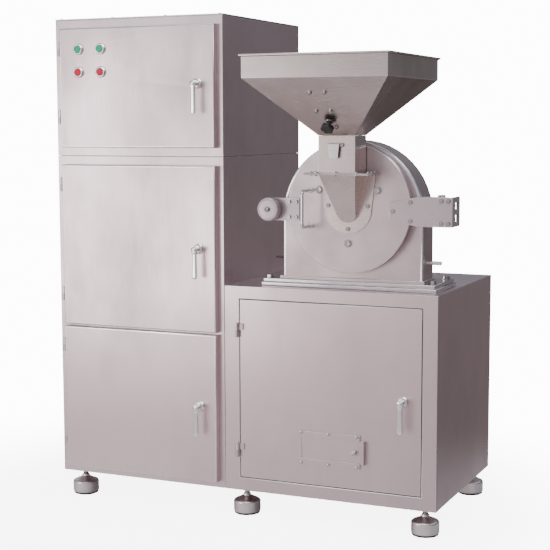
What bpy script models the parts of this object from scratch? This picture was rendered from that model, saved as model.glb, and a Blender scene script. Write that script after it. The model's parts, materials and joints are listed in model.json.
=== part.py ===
"""Hammer mill on a low cabinet, with a tall control and dust collector cabinet beside it.

Metres, +Z up, front towards -Y. Everything is laid out from the tall cabinet's front left corner, above the
floor, and hung on one empty, which moves the origin to the floor under the middle of the machine's box.
"""

import math

import bmesh
import bpy
from mathutils import Matrix, Vector

# ---------------------------------------------------------------- driving sizes
TALL_WIDTH = 0.628
LOW_WIDTH = 0.7245
DEPTH = 0.630
TALL_HEIGHT = 1.550
SPLIT_HEIGHT = 1.097
LOW_HEIGHT = 0.679
FOOT_HEIGHT = 0.090
SHEET = 0.003
DOOR_SHEET = 0.002
GAP = 0.0004
SEAM = 0.0006

COVER_THICKNESS = 0.004
COVER_SCREW_INSET = 0.016

# doors
DOOR_SIDE_MARGIN = 0.0285
DOOR_RIGHT_MARGIN = 0.0205
DOOR_THICKNESS = 0.024
DOOR_OVERLAP = 0.026
DOOR_EDGE_RADIUS = 0.005
UPPER_DOOR_LOW = 0.028
UPPER_DOOR_HIGH = 0.029
MIDDLE_DOOR_HIGH = 0.030
DOOR_JOIN_HEIGHT = 0.5185
DOOR_JOIN_GAP = 0.007
LOWER_DOOR_LOW = 0.022
FLUSH_DOOR_LEFT = 0.0555
FLUSH_DOOR_RIGHT = 0.051
FLUSH_DOOR_LOW = 0.046
FLUSH_DOOR_HIGH = 0.044
FLUSH_DOOR_GAP = 0.003
FLUSH_DOOR_THICKNESS = 0.020

# hinges of the cabinet doors
HINGE_RADIUS = 0.0065
HINGE_PIN_RADIUS = 0.003
HINGE_LENGTH = 0.046
HINGE_INSETS = (0.102, 0.068)
FLUSH_HINGE_INSETS = (0.091, 0.100)
HINGE_STAND_OFF = 0.008
HINGE_LEAF = 0.003

# lever locks
LEVER_INSET = 0.058
LEVER_LENGTH = 0.106
LEVER_WIDTH = 0.015
LEVER_THICKNESS = 0.008
LEVER_STAND_OFF = 0.030
ROSETTE_RADIUS = 0.015
ROSETTE_HEIGHT = 0.008
SPINDLE_RADIUS = 0.006
TONGUE_LENGTH = 0.028
TONGUE_WIDTH = 0.014

# push buttons
BUTTON_COLUMNS = (0.1045, 0.190)
BUTTON_ROWS = (0.099, 0.175)
BUTTON_RING_RADIUS = 0.0175
BUTTON_RING_HEIGHT = 0.007
BUTTON_RADIUS = 0.0120
BUTTON_PROUD = 0.0095

# feet
FOOT_RADIUS = 0.045
FOOT_INSET_X = 0.052
FOOT_INSET_Y = 0.048

# sliding hatch
HATCH_LEFT = 0.206
HATCH_LENGTH = 0.212
HATCH_LOW = 0.066
HATCH_HEIGHT = 0.110
HATCH_RAIL = 0.016

# mill
MILL_SIDE_SHIFT = 0.0568
PLATE_THICKNESS = 0.012
PLATE_LEFT = 0.306
PLATE_RIGHT = 0.283
PLATE_FRONT = 0.048
PLATE_REAR = 0.269
CASING_HALF_WIDTH = 0.2375
CASING_SPRING = 0.209
CASING_FRONT = 0.060
CASING_DEPTH = 0.100
CASING_WALL = 0.006
CASING_FLANGE = 0.010
CASING_EASE = 0.010
LOCK_SCREW_RADIUS = 0.0045
LOCK_SCREW_HEAD = 0.0065
LOCK_SCREW_LENGTH = 0.044
SHAFT_HEIGHT = 0.235
CHAMBER_RADIUS = 0.190
DOOR_RADIUS = 0.206
DOOR_DEPTH = 0.0294
DOOR_PLATE = 0.012
SCREEN_RADIUS = 0.165
SCREEN_THICKNESS = 0.003
ROTOR_DISC_RADIUS = 0.100
ROTOR_HUB_RADIUS = 0.027
HAMMER_PIN_CIRCLE = 0.085
HAMMER_PIN_RADIUS = 0.006
HAMMER_REACH = 0.061
HAMMER_WIDTH = 0.028
SHAFT_RADIUS = 0.020
DISCHARGE_HALF_WIDTH = 0.105
DISCHARGE_FRONT = 0.078
DISCHARGE_REAR = 0.146

# feed path
THROAT_HALF_WIDTH = 0.0605
THROAT_DEPTH = 0.098
THROAT_BOTTOM = 0.1095
THROAT_TOP = 0.2265
FLANGE_HALF_WIDTH = 0.105
FLANGE_FRONT_LIP = 0.012
FLANGE_THICKNESS = 0.003
FEED_SHEET = 0.003
CHUTE_BOTTOM = -0.046
CHUTE_TOE_RADIUS = 0.032
CHUTE_TOE_DEPTH = 0.0036
COLLAR_BOTTOM = -0.080
HOPPER_BAND_LOW = 0.398
HOPPER_TOP = 0.469
HOPPER_HALF_WIDTH = 0.230
HOPPER_HALF_DEPTH = 0.243
HOPPER_LIP = 0.006
GATE_WIDTH = 0.040
GATE_HEIGHT = 0.2015
GATE_TAB = 0.044
KNOB_UP_SLOPE = 0.059
KNOB_SIDE = -0.007

# chamber door furniture
PULL_OFFSET = -0.127
PULL_LENGTH = 0.114
PULL_STAND_OFF = 0.072
PULL_RADIUS = 0.005
CLAMP_OFFSET = -0.258
CLAMP_HEIGHT = -0.008
CLAMP_PLATE_HALF = 0.036
CLAMP_PLATE_THICKNESS = 0.010
CLAMP_KNOB_RADIUS = 0.038
CLAMP_SCREW_RADIUS = 0.007
CLAMP_COLLAR_RADIUS = 0.011
CLAMP_SCREW_GRIP = 0.010
CLAMP_LUG_FRONT = 0.066
CLAMP_LUG_REAR = 0.110
CLAMP_LUG_HALF = 0.020
HINGE_OFFSET = 0.287
HINGE_BACK = 0.025
ARM_LEFT = 0.139
ARM_RIGHT = 0.340
ARM_HALF_HEIGHT = 0.0455
ARM_TIP_HALF = 0.028
ARM_THICKNESS = 0.008
HINGE_KNUCKLE_RADIUS = 0.018
DOOR_HINGE_PIN_RADIUS = 0.008
EAR_ROOT = 0.0105

# drive
MILL_PULLEY_RADIUS = 0.055
MOTOR_PULLEY_RADIUS = 0.075
BELT_WIDTH = 0.028
BELT_THICKNESS = 0.009
PULLEY_FRONT = 0.276
MOTOR_RADIUS = 0.105
MOTOR_LENGTH = 0.235
MOTOR_HEIGHT = 0.150

# tall cabinet inside
FILTER_RADIUS = 0.150
FILTER_HOLE_GAP = 0.003
TUBE_PLATE_HEIGHT = 0.985
FAN_RADIUS = 0.140

# ---------------------------------------------------------------- places worked out from them
FLOOR = FOOT_HEIGHT
LOW_LEFT = TALL_WIDTH + SEAM
LOW_RIGHT = LOW_LEFT + LOW_WIDTH
MILL_X = LOW_LEFT + LOW_WIDTH / 2 + MILL_SIDE_SHIFT
LOW_TOP = FLOOR + LOW_HEIGHT
PLATE_1 = LOW_TOP + GAP
PLATE_2 = PLATE_1 + PLATE_THICKNESS + GAP
PLATE_TOP = PLATE_2 + PLATE_THICKNESS
SHAFT_Z = PLATE_TOP + GAP + SHAFT_HEIGHT
CASING_REAR = CASING_FRONT + CASING_DEPTH
DOOR_BACK = CASING_FRONT - GAP
DOOR_FACE = DOOR_BACK - DOOR_DEPTH
THROAT_BACK = DOOR_FACE - GAP - FEED_SHEET - GAP
THROAT_FRONT = THROAT_BACK - THROAT_DEPTH
THROAT_MIDDLE = (THROAT_BACK + THROAT_FRONT) / 2
FLANGE_Z = SHAFT_Z + THROAT_BOTTOM
THROAT_Z = FLANGE_Z + FLANGE_THICKNESS + GAP
HOPPER_Z = SHAFT_Z + THROAT_TOP
HOPPER_FRONT = THROAT_MIDDLE - HOPPER_HALF_DEPTH - HOPPER_LIP
PIN_X = MILL_X + HINGE_OFFSET
PIN_Y = CASING_FRONT + HINGE_BACK
ARM_FRONT = DOOR_FACE - GAP - ARM_THICKNESS
CLAMP_X = MILL_X + CLAMP_OFFSET
CLAMP_Z = SHAFT_Z + CLAMP_HEIGHT
MOTOR_Z = FLOOR + SHEET + MOTOR_HEIGHT
SPLIT_Z = FLOOR + SPLIT_HEIGHT
TALL_TOP = FLOOR + TALL_HEIGHT
TUBE_Z = FLOOR + TUBE_PLATE_HEIGHT
FILTER_X = TALL_WIDTH / 2
FILTER_Y = DEPTH / 2
DOOR_LEFT = DOOR_SIDE_MARGIN
DOOR_RIGHT = TALL_WIDTH - DOOR_RIGHT_MARGIN
OVERLAY_BACK = -0.0005
OVERLAY_FACE = OVERLAY_BACK - DOOR_THICKNESS
DOOR_JOIN = FLOOR + DOOR_JOIN_HEIGHT
UPPER_DOOR = (SPLIT_Z + UPPER_DOOR_LOW, TALL_TOP - UPPER_DOOR_HIGH)
MIDDLE_DOOR = (DOOR_JOIN + DOOR_JOIN_GAP / 2, SPLIT_Z - MIDDLE_DOOR_HIGH)
LOWER_DOOR = (FLOOR + LOWER_DOOR_LOW, DOOR_JOIN - DOOR_JOIN_GAP / 2)
TALL_LEVER_X = DOOR_RIGHT - LEVER_INSET
LEVER_HEIGHTS = {"upper": UPPER_DOOR[0] + 0.207, "middle": (MIDDLE_DOOR[0] + MIDDLE_DOOR[1]) / 2 + 0.003,
                 "lower": (LOWER_DOOR[0] + LOWER_DOOR[1]) / 2 + 0.007}
TONGUE_Y = SHEET + 0.003
FLUSH = (LOW_LEFT + FLUSH_DOOR_LEFT, LOW_RIGHT - FLUSH_DOOR_RIGHT, FLOOR + FLUSH_DOOR_LOW,
         LOW_TOP - FLUSH_DOOR_HIGH)
MILL_LEVER_X = FLUSH[1] - LEVER_INSET
MILL_LEVER_Z = (FLUSH[2] + FLUSH[3]) / 2 + 0.001
WALL_Y = PULLEY_FRONT - 0.014
GUARD_HALF = MILL_PULLEY_RADIUS + 0.033
GUARD_FRONT = PULLEY_FRONT - 0.0055
PULLEY_WIDTH = BELT_WIDTH + 0.008
GUARD_REAR = PULLEY_FRONT + PULLEY_WIDTH + 0.010
RIGHT_END = max(LOW_RIGHT, MILL_X + ARM_RIGHT)
CENTRE_X = RIGHT_END / 2
REAR_END = DEPTH + DOOR_SHEET
CENTRE_Y = (HOPPER_FRONT + REAR_END) / 2

STEEL = ("stainless", (0.63, 0.62, 0.62), 1.0, 0.35)
SATIN = ("satin_steel", (0.70, 0.68, 0.67), 1.0, 0.42)
CHROME = ("chrome", (0.85, 0.85, 0.86), 1.0, 0.12)
BLACK = ("black_plastic", (0.02, 0.02, 0.02), 0.0, 0.45)
RUBBER = ("rubber", (0.03, 0.03, 0.03), 0.0, 0.80)
GREEN = ("green_plastic", (0.02, 0.50, 0.33), 0.0, 0.35)
RED = ("red_plastic", (0.62, 0.02, 0.07), 0.0, 0.35)
IRON = ("cast_iron", (0.16, 0.17, 0.18), 0.6, 0.60)
PAINT = ("motor_paint", (0.10, 0.20, 0.30), 0.2, 0.45)
FILTER = ("filter_cloth", (0.85, 0.84, 0.80), 0.0, 0.90)

AXES = {"X": Matrix.Rotation(math.pi / 2, 4, "Y"), "Y": Matrix.Rotation(-math.pi / 2, 4, "X"), "Z": Matrix()}


# ---------------------------------------------------------------- shapes
def finished(bm):
    """Faces pointing out, and a bmesh handed back."""
    bmesh.ops.recalc_face_normals(bm, faces=bm.faces)
    return bm


def box(x0, x1, y0, y1, z0, z1):
    bm = bmesh.new()
    bmesh.ops.create_cube(bm, size=1.0)
    size = Matrix.Diagonal((x1 - x0, y1 - y0, z1 - z0, 1.0))
    middle = Matrix.Translation(((x0 + x1) / 2, (y0 + y1) / 2, (z0 + z1) / 2))
    bmesh.ops.transform(bm, matrix=middle @ size, verts=bm.verts)
    return finished(bm)


def turned(profile, centre, axis="Z", sides=24, ring=False):
    """A lathe shape from (radius, distance along the axis) points. A ring's profile closes on itself."""
    bm = bmesh.new()
    rows = []
    for radius, along in profile:
        if radius < 1e-6:
            rows.append([bm.verts.new((0, 0, along))] * sides)
            continue
        angles = [2 * math.pi * i / sides for i in range(sides)]
        rows.append([bm.verts.new((radius * math.cos(a), radius * math.sin(a), along)) for a in angles])
    pairs = list(zip(rows, rows[1:]))
    if ring:
        pairs.append((rows[-1], rows[0]))
    for low, high in pairs:
        for i in range(sides):
            j = (i + 1) % sides
            corners = list(dict.fromkeys([low[i], low[j], high[j], high[i]]))
            if len(corners) > 2:
                bm.faces.new(corners)
    if not ring:
        for row in (rows[0], rows[-1]):
            if row[0] is not row[1]:
                bm.faces.new(row)
    bmesh.ops.transform(bm, matrix=Matrix.Translation(centre) @ AXES[axis], verts=bm.verts)
    return finished(bm)


def rod(centre, axis, radius, start, end, sides=24):
    """A round bar from start to end along an axis through centre."""
    return turned([(radius, start), (radius, end)], centre, axis, sides)


def prism(outline, start, end, axis="Y"):
    """An outline swept from start to end. Along Y it holds (x, z) points, along Z (x, y)."""
    place = {"Y": lambda a, b, c: (a, c, b), "Z": lambda a, b, c: (a, b, c)}[axis]
    near = start if callable(start) else lambda a, b: start
    bm = bmesh.new()
    first = [bm.verts.new(place(a, b, near(a, b))) for a, b in outline]
    last = [bm.verts.new(place(a, b, end)) for a, b in outline]
    bm.faces.new(first)
    bm.faces.new(last[::-1])
    for i in range(len(outline)):
        j = (i + 1) % len(outline)
        bm.faces.new((first[i], first[j], last[j], last[i]))
    return finished(bm)


def loft(sections, axis="Z", capped=False):
    """Rectangular rings (low, high, low, high, distance) joined in turn, the last to the first or capped."""
    place = {"Z": lambda a, b, c: (a, b, c), "Y": lambda a, b, c: (a, c, b)}[axis]
    bm = bmesh.new()
    rings = []
    for a0, a1, b0, b1, along in sections:
        rings.append([bm.verts.new(place(a, b, along)) for a, b in ((a0, b0), (a1, b0), (a1, b1), (a0, b1))])
    for low, high in zip(rings, rings[1:] if capped else rings[1:] + rings[:1]):
        for i in range(4):
            j = (i + 1) % 4
            bm.faces.new((low[i], low[j], high[j], high[i]))
    if capped:
        bm.faces.new(rings[0])
        bm.faces.new(rings[-1])
    return finished(bm)


def bent_rod(points, radius, sides=12):
    """A round bar that follows points lying in one plane of constant x."""
    bm = bmesh.new()
    path = [Vector(p) for p in points]
    rings = []
    for i, point in enumerate(path):
        ahead = (path[min(i + 1, len(path) - 1)] - path[max(i - 1, 0)]).normalized()
        side = Vector((1, 0, 0))
        up = ahead.cross(side).normalized()
        angles = [2 * math.pi * k / sides for k in range(sides)]
        rings.append([bm.verts.new(point + radius * (side * math.cos(a) + up * math.sin(a))) for a in angles])
    for low, high in zip(rings, rings[1:]):
        for i in range(sides):
            j = (i + 1) % sides
            bm.faces.new((low[i], low[j], high[j], high[i]))
    bm.faces.new(rings[0])
    bm.faces.new(rings[-1])
    return finished(bm)


def arc(centre, radius, start, end, count):
    """Points on a circle from one angle to another, in degrees, both ends included."""
    angles = [math.radians(start + (end - start) * i / count) for i in range(count + 1)]
    return [(centre[0] + radius * math.cos(a), centre[1] + radius * math.sin(a)) for a in angles]


# ---------------------------------------------------------------- objects
def material(spec):
    name, colour, metallic, roughness = spec
    found = bpy.data.materials.get(name)
    if found:
        return found
    made = bpy.data.materials.new(name)
    made.use_nodes = True
    shader = made.node_tree.nodes["Principled BSDF"]
    shader.inputs["Base Color"].default_value = (*colour, 1.0)
    shader.inputs["Metallic"].default_value = metallic
    shader.inputs["Roughness"].default_value = roughness
    return made


def placed(name, bm, anchor, holder):
    """An object with its origin at anchor, in the machine's layout, under holder."""
    bmesh.ops.transform(bm, matrix=Matrix.Translation(-Vector(anchor)), verts=bm.verts)
    mesh = bpy.data.meshes.new(name)
    bm.to_mesh(mesh)
    bm.free()
    mesh.shade_smooth()
    mesh.set_sharp_from_angle(angle=math.radians(35))
    made = bpy.data.objects.new(name, mesh)
    made.parent = holder
    made.location = anchor
    return made


def operands(name, shapes, anchor, holder):
    """A collection of hidden guides for one Boolean."""
    group = bpy.data.collections.new(name)
    bpy.context.scene.collection.children.link(group)
    for number, shape in enumerate(shapes):
        guide = placed(f"{name}_{number}", shape, anchor, holder)
        guide.hide_render = True
        guide.display_type = "WIRE"
        group.objects.link(guide)
    return group


def node(name, spec, add, cut=(), anchor=(0, 0, 0)):
    """One piece of the machine: shapes joined, then cut. Its origin is at anchor."""
    made = placed(name, add[0], anchor, MACHINE)
    bpy.context.scene.collection.objects.link(made)
    made.data.materials.append(material(spec))
    for label, operation, shapes in (("joined", "UNION", add[1:]), ("cut", "DIFFERENCE", cut)):
        if shapes:
            boolean = made.modifiers.new(label, "BOOLEAN")
            boolean.operation = operation
            boolean.operand_type = "COLLECTION"
            boolean.collection = operands(f"{name}.{label}", shapes, anchor, MACHINE)
    return made


# ---------------------------------------------------------------- cabinet hinges, locks and doors
def hinge_axis(left, face):
    return left - HINGE_RADIUS - 0.0015, face - HINGE_STAND_OFF


def hinge_heights(low, high, insets):
    return low + insets[0], high - insets[1]


def fixed_knuckles(left, face, low, high, wall, insets=HINGE_INSETS):
    """Lower half of each hinge with its pin, on a block that reaches the cabinet wall."""
    x, y = hinge_axis(left, face)
    shapes = []
    for z in hinge_heights(low, high, insets):
        shapes.append(rod((x, y, 0), "Z", HINGE_RADIUS, z - HINGE_LENGTH / 2, z - GAP, 12))
        pin_top = z + HINGE_LENGTH / 2 + 0.002
        shapes.append(rod((x, y, 0), "Z", HINGE_PIN_RADIUS, z - HINGE_LENGTH / 4, pin_top, 8))
        shapes.append(box(x - 0.004, x + 0.002, y, wall, z - HINGE_LENGTH / 2 + 0.001, z - 0.002))
    return shapes


def door_knuckles(left, face, low, high, leaf_y, leaf_end, insets=HINGE_INSETS):
    """Upper half of each hinge, bored for the pin, with a leaf that reaches leaf_end past the door's edge."""
    x, y = hinge_axis(left, face)
    solids = []
    bores = []
    for z in hinge_heights(low, high, insets):
        top = z + HINGE_LENGTH / 2
        solids.append(rod((x, y, 0), "Z", HINGE_RADIUS, z + GAP, top, 12))
        solids.append(box(x + 0.002, left + leaf_end, leaf_y, leaf_y + HINGE_LEAF, z + 0.001, top - 0.001))
        if leaf_y < face - HINGE_LEAF:
            pad_end = left + leaf_end - 0.001
            solids.append(box(left + 0.002, pad_end, leaf_y + 0.001, face + 0.001, z + 0.002, top - 0.002))
        bores.append(rod((x, y, 0), "Z", HINGE_PIN_RADIUS + 0.0006, z - 0.002, top + 0.004, 8))
    return solids, bores


def folded_door(x0, x1, y0, y1, z0, z1, radius):
    """A sheet door folded back round its four edges, open at the back."""
    def level(inset, y):
        return (x0 + inset, x1 - inset, z0 + inset, z1 - inset, y)

    t = DOOR_SHEET
    soft = radius * 0.29
    rings = [level(radius, y0), level(soft, y0 + soft), level(0, y0 + radius), level(0, y1), level(t, y1),
             level(t, y0 + max(t, radius)), level(max(t, radius) + t / 2, y0 + t)]
    return loft(rings, "Y", capped=True)


def lever(name, x, face, z, sheet_back):
    """A hanging lever on a spindle that ends in a short cam tongue inside the cabinet."""
    front = face - ROSETTE_HEIGHT - LEVER_STAND_OFF
    half = LEVER_WIDTH / 2
    outline = arc((x, z), half * 1.25, -20, 200, 8)
    outline += [(x - half * 0.95, z - LEVER_LENGTH * 0.45)]
    outline += arc((x, z - LEVER_LENGTH + half * 2.0), half * 0.72, 180, 360, 4)
    outline += [(x + half * 0.95, z - LEVER_LENGTH * 0.45)]
    shapes = [
        prism(outline, front, front + LEVER_THICKNESS),
        rod((x, 0, z), "Y", half * 0.8, front + 0.002, face - ROSETTE_HEIGHT - GAP, 12),
        rod((x, 0, z), "Y", SPINDLE_RADIUS, front + 0.004, sheet_back + 0.004, 8),
        box(x - TONGUE_WIDTH / 2, x + TONGUE_LENGTH, sheet_back + GAP, sheet_back + 0.0036,
            z - TONGUE_WIDTH / 2, z + TONGUE_WIDTH / 2),
    ]
    return node(name, CHROME, shapes, anchor=(x, face, z))


def lock_seat(x, face, z, back):
    """The rosette and the hole for the spindle."""
    rosette = rod((x, 0, z), "Y", ROSETTE_RADIUS, face - ROSETTE_HEIGHT, face + DOOR_SHEET * 0.9, 16)
    hole = rod((x, 0, z), "Y", SPINDLE_RADIUS + 0.0008, face - ROSETTE_HEIGHT - 0.01, back, 8)
    return rosette, hole


def overlay_door(name, span):
    """A folded sheet door that lies over its opening, hinged on the left."""
    low, high = span
    z = LEVER_HEIGHTS[name]
    skin = folded_door(DOOR_LEFT, DOOR_RIGHT, OVERLAY_FACE, OVERLAY_BACK, low, high, DOOR_EDGE_RADIUS)
    middle = (OVERLAY_FACE + OVERLAY_BACK) / 2
    face = middle + HINGE_STAND_OFF
    knuckles, bores = door_knuckles(DOOR_LEFT, face, low, high, middle - 0.002, DOOR_SHEET * 0.9)
    rosette, hole = lock_seat(TALL_LEVER_X, OVERLAY_FACE, z, 0.02)
    adds = [skin, *knuckles, rosette]
    cuts = [hole, *bores]
    if name == "upper":
        for x, z_button in button_places():
            ring = (x, 0, z_button)
            adds.append(rod(ring, "Y", BUTTON_RING_RADIUS, OVERLAY_FACE - BUTTON_RING_HEIGHT,
                            OVERLAY_FACE + DOOR_SHEET * 0.9, 16))
            cuts.append(rod(ring, "Y", BUTTON_RADIUS + 0.0006, OVERLAY_FACE - 0.02, 0.02, 16))
    x, y = hinge_axis(DOOR_LEFT, face)
    node(f"{name}_door", STEEL, adds, cuts, (x, y, low))
    lever(f"{name}_door_lever", TALL_LEVER_X, OVERLAY_FACE, z, TONGUE_Y)


def button_places():
    return [(x, UPPER_DOOR[1] + 0.029 - row) for row in BUTTON_ROWS for x in BUTTON_COLUMNS]


def opening(span):
    """What is cut from the front sheet behind an overlay door."""
    low, high = span
    edge = DOOR_OVERLAP
    return box(DOOR_LEFT + edge, DOOR_RIGHT - edge, -0.01, SHEET + 0.01, low + edge, high - edge)


def tall_cabinet():
    s = SHEET
    middle = (OVERLAY_FACE + OVERLAY_BACK) / 2 + HINGE_STAND_OFF
    shelf = DOOR_JOIN - s / 2
    inner = (s, TALL_WIDTH - s, s, DEPTH - s)
    ledge = 0.050
    vents = [box(0.12, TALL_WIDTH - 0.12, DEPTH - 0.01, DEPTH + 0.01, z, z + 0.012)
             for z in (TUBE_Z + 0.030, TUBE_Z + 0.055, TUBE_Z + 0.080)]
    hole_radius = FILTER_RADIUS + FILTER_HOLE_GAP
    filter_hole = rod((FILTER_X, FILTER_Y, 0), "Z", hole_radius, TUBE_Z - 0.01, TUBE_Z + 0.02, 32)
    lower_cuts = [
        box(*inner, FLOOR + s, shelf),
        box(*inner, shelf + s, TUBE_Z),
        box(*inner, TUBE_Z + s, SPLIT_Z - SEAM - s),
        box(ledge, TALL_WIDTH - ledge, ledge, DEPTH - ledge, shelf - 0.01, shelf + 0.01),
        opening(LOWER_DOOR),
        opening((MIDDLE_DOOR[0], min(MIDDLE_DOOR[1], TUBE_Z + 0.010))),
        filter_hole,
        *vents,
    ]
    knuckles = fixed_knuckles(DOOR_LEFT, middle, *LOWER_DOOR, s * 0.9)
    knuckles += fixed_knuckles(DOOR_LEFT, middle, *MIDDLE_DOOR, s * 0.9)
    body = box(0, TALL_WIDTH, 0, DEPTH, FLOOR, SPLIT_Z - SEAM)
    shell = node("tall_lower_shell", STEEL, [body], lower_cuts)
    join_after(shell, knuckles)
    body = box(0, TALL_WIDTH, 0, DEPTH, SPLIT_Z, TALL_TOP)
    upper_cuts = [box(*inner, SPLIT_Z + s, TALL_TOP + 0.01), opening(UPPER_DOOR)]
    shell = node("tall_upper_shell", STEEL, [body], upper_cuts)
    join_after(shell, fixed_knuckles(DOOR_LEFT, middle, *UPPER_DOOR, s * 0.9))
    cover()
    for name, span in (("upper", UPPER_DOOR), ("middle", MIDDLE_DOOR), ("lower", LOWER_DOOR)):
        overlay_door(name, span)


def join_after(made, shapes, cut=()):
    """Joins shapes after the first cuts, so that what reaches into a hollow stays, then makes the others."""
    for label, operation, group in (("joined_last", "UNION", shapes), ("cut_last", "DIFFERENCE", cut)):
        if group:
            boolean = made.modifiers.new(label, "BOOLEAN")
            boolean.operation = operation
            boolean.operand_type = "COLLECTION"
            boolean.collection = operands(f"{made.name}.{label}", group, (0, 0, 0), MACHINE)


def cover():
    """The top sheet with a row of domed screws near its edge."""
    z = TALL_TOP + GAP
    plate = box(0, TALL_WIDTH, 0, DEPTH, z, z + COVER_THICKNESS)
    spots = set()
    far_x, far_y = TALL_WIDTH - COVER_SCREW_INSET, DEPTH - COVER_SCREW_INSET
    for i in range(4):
        x = COVER_SCREW_INSET + (far_x - COVER_SCREW_INSET) * i / 3
        spots |= {(x, COVER_SCREW_INSET), (x, far_y)}
    for i in range(5):
        y = COVER_SCREW_INSET + (far_y - COVER_SCREW_INSET) * i / 4
        spots |= {(COVER_SCREW_INSET, y), (far_x, y)}
    dome = [(0, -0.001), (0.0065, -0.001), (0.0060, 0.0016), (0, 0.0034)]
    domes = [turned(dome, (x, y, z + COVER_THICKNESS), "Z", 8) for x, y in sorted(spots)]
    node("top_cover", STEEL, [plate, *domes])


def buttons():
    for number, (x, z) in enumerate(button_places()):
        colour = "green" if number < 2 else "red"
        side = "left" if number % 2 == 0 else "right"
        front = OVERLAY_FACE - BUTTON_PROUD
        profile = [(0, front), (BUTTON_RADIUS * 0.92, front), (BUTTON_RADIUS, front + 0.0012),
                   (BUTTON_RADIUS, OVERLAY_FACE + 0.010), (0.005, OVERLAY_FACE + 0.010),
                   (0.005, OVERLAY_BACK - 0.006), (0, OVERLAY_BACK - 0.006)]
        spec = GREEN if colour == "green" else RED
        cap = turned(profile, (x, 0, z), "Y", 16)
        node(f"{colour}_button_{side}", spec, [cap], anchor=(x, OVERLAY_FACE, z))


# ---------------------------------------------------------------- inside the tall cabinet
def tall_inside():
    s = SHEET
    plate_y = DEPTH - 0.080
    low, high = SPLIT_Z + 0.060, TALL_TOP - 0.060
    plate = box(0.060, TALL_WIDTH - 0.060, plate_y, plate_y + s, low, high)
    gear = [box(x, x + 0.045, plate_y - 0.085, plate_y + 0.001, high - 0.150, high - 0.065)
            for x in (0.110, 0.180, 0.330, 0.400)]
    gear.append(box(0.110, 0.450, plate_y - 0.045, plate_y + 0.001, low + 0.040, low + 0.075))
    node("electrical_plate", STEEL, [plate, *gear])
    r = FILTER_RADIUS
    top = TUBE_Z + s + GAP
    profile = [(0, DOOR_JOIN + 0.045), (r, DOOR_JOIN + 0.045), (r, top), (r + 0.018, top),
               (r + 0.018, top + 0.004),
               (r - 0.030, top + 0.004), (r - 0.030, DOOR_JOIN + 0.060), (0, DOOR_JOIN + 0.060)]
    node("filter_cartridge", FILTER, [turned(profile, (FILTER_X, FILTER_Y, 0), "Z", 28)])
    fan_low = top + 0.012
    fan_high = fan_low + 0.052
    ceiling = SPLIT_Z - SEAM - s
    hub = (FILTER_X, FILTER_Y, 0)
    node("fan_motor", IRON, [rod(hub, "Z", 0.040, fan_low + 0.010, ceiling - GAP, 20)])
    ring = [(0.042, fan_high), (FAN_RADIUS, fan_high), (FAN_RADIUS, fan_high + 0.003),
            (0.042, fan_high + 0.003)]
    eye = [(0.085, fan_low), (FAN_RADIUS, fan_low), (FAN_RADIUS, fan_low + 0.002), (0.085, fan_low + 0.002)]
    blades = []
    for i in range(8):
        blade = box(0.088, FAN_RADIUS - 0.001, -0.001, 0.001, fan_low + 0.001, fan_high + 0.001)
        turn = Matrix.Translation(hub) @ Matrix.Rotation(math.radians(45 * i), 4, "Z")
        bmesh.ops.transform(blade, matrix=turn, verts=blade.verts)
        blades.append(blade)
    shapes = [turned(ring, hub, "Z", 24, True), turned(eye, hub, "Z", 24, True), *blades]
    node("fan_impeller", IRON, shapes, anchor=hub)
    tray("dust_drawer", (0.075, TALL_WIDTH - 0.075, 0.030, DEPTH - 0.040, FLOOR + s + 0.004, FLOOR + 0.340))


def tray(name, size):
    """An open box of thin sheet."""
    x0, x1, y0, y1, z0, z1 = size
    s = DOOR_SHEET
    node(name, STEEL, [box(*size)], [box(x0 + s, x1 - s, y0 + s, y1 - s, z0 + s, z1 + 0.01)])


# ---------------------------------------------------------------- feet
def feet():
    columns = (FOOT_INSET_X, LOW_LEFT + FOOT_INSET_X, LOW_RIGHT - FOOT_INSET_X)
    rows = (FOOT_INSET_Y + 0.009, DEPTH - FOOT_INSET_Y)
    r = FOOT_RADIUS
    top = FOOT_HEIGHT - GAP
    profile = [(0, 0), (r * 0.97, 0), (r, 0.012), (r, 0.034), (r * 0.80, 0.050), (0.014, 0.056),
               (0.011, top), (0, top)]
    for x, side in zip(columns, ("left", "middle", "right")):
        for y, row in zip(rows, ("front", "rear")):
            node(f"{row}_{side}_foot", SATIN, [turned(profile, (x, y, 0), "Z", 16)], anchor=(x, y, 0))


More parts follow.
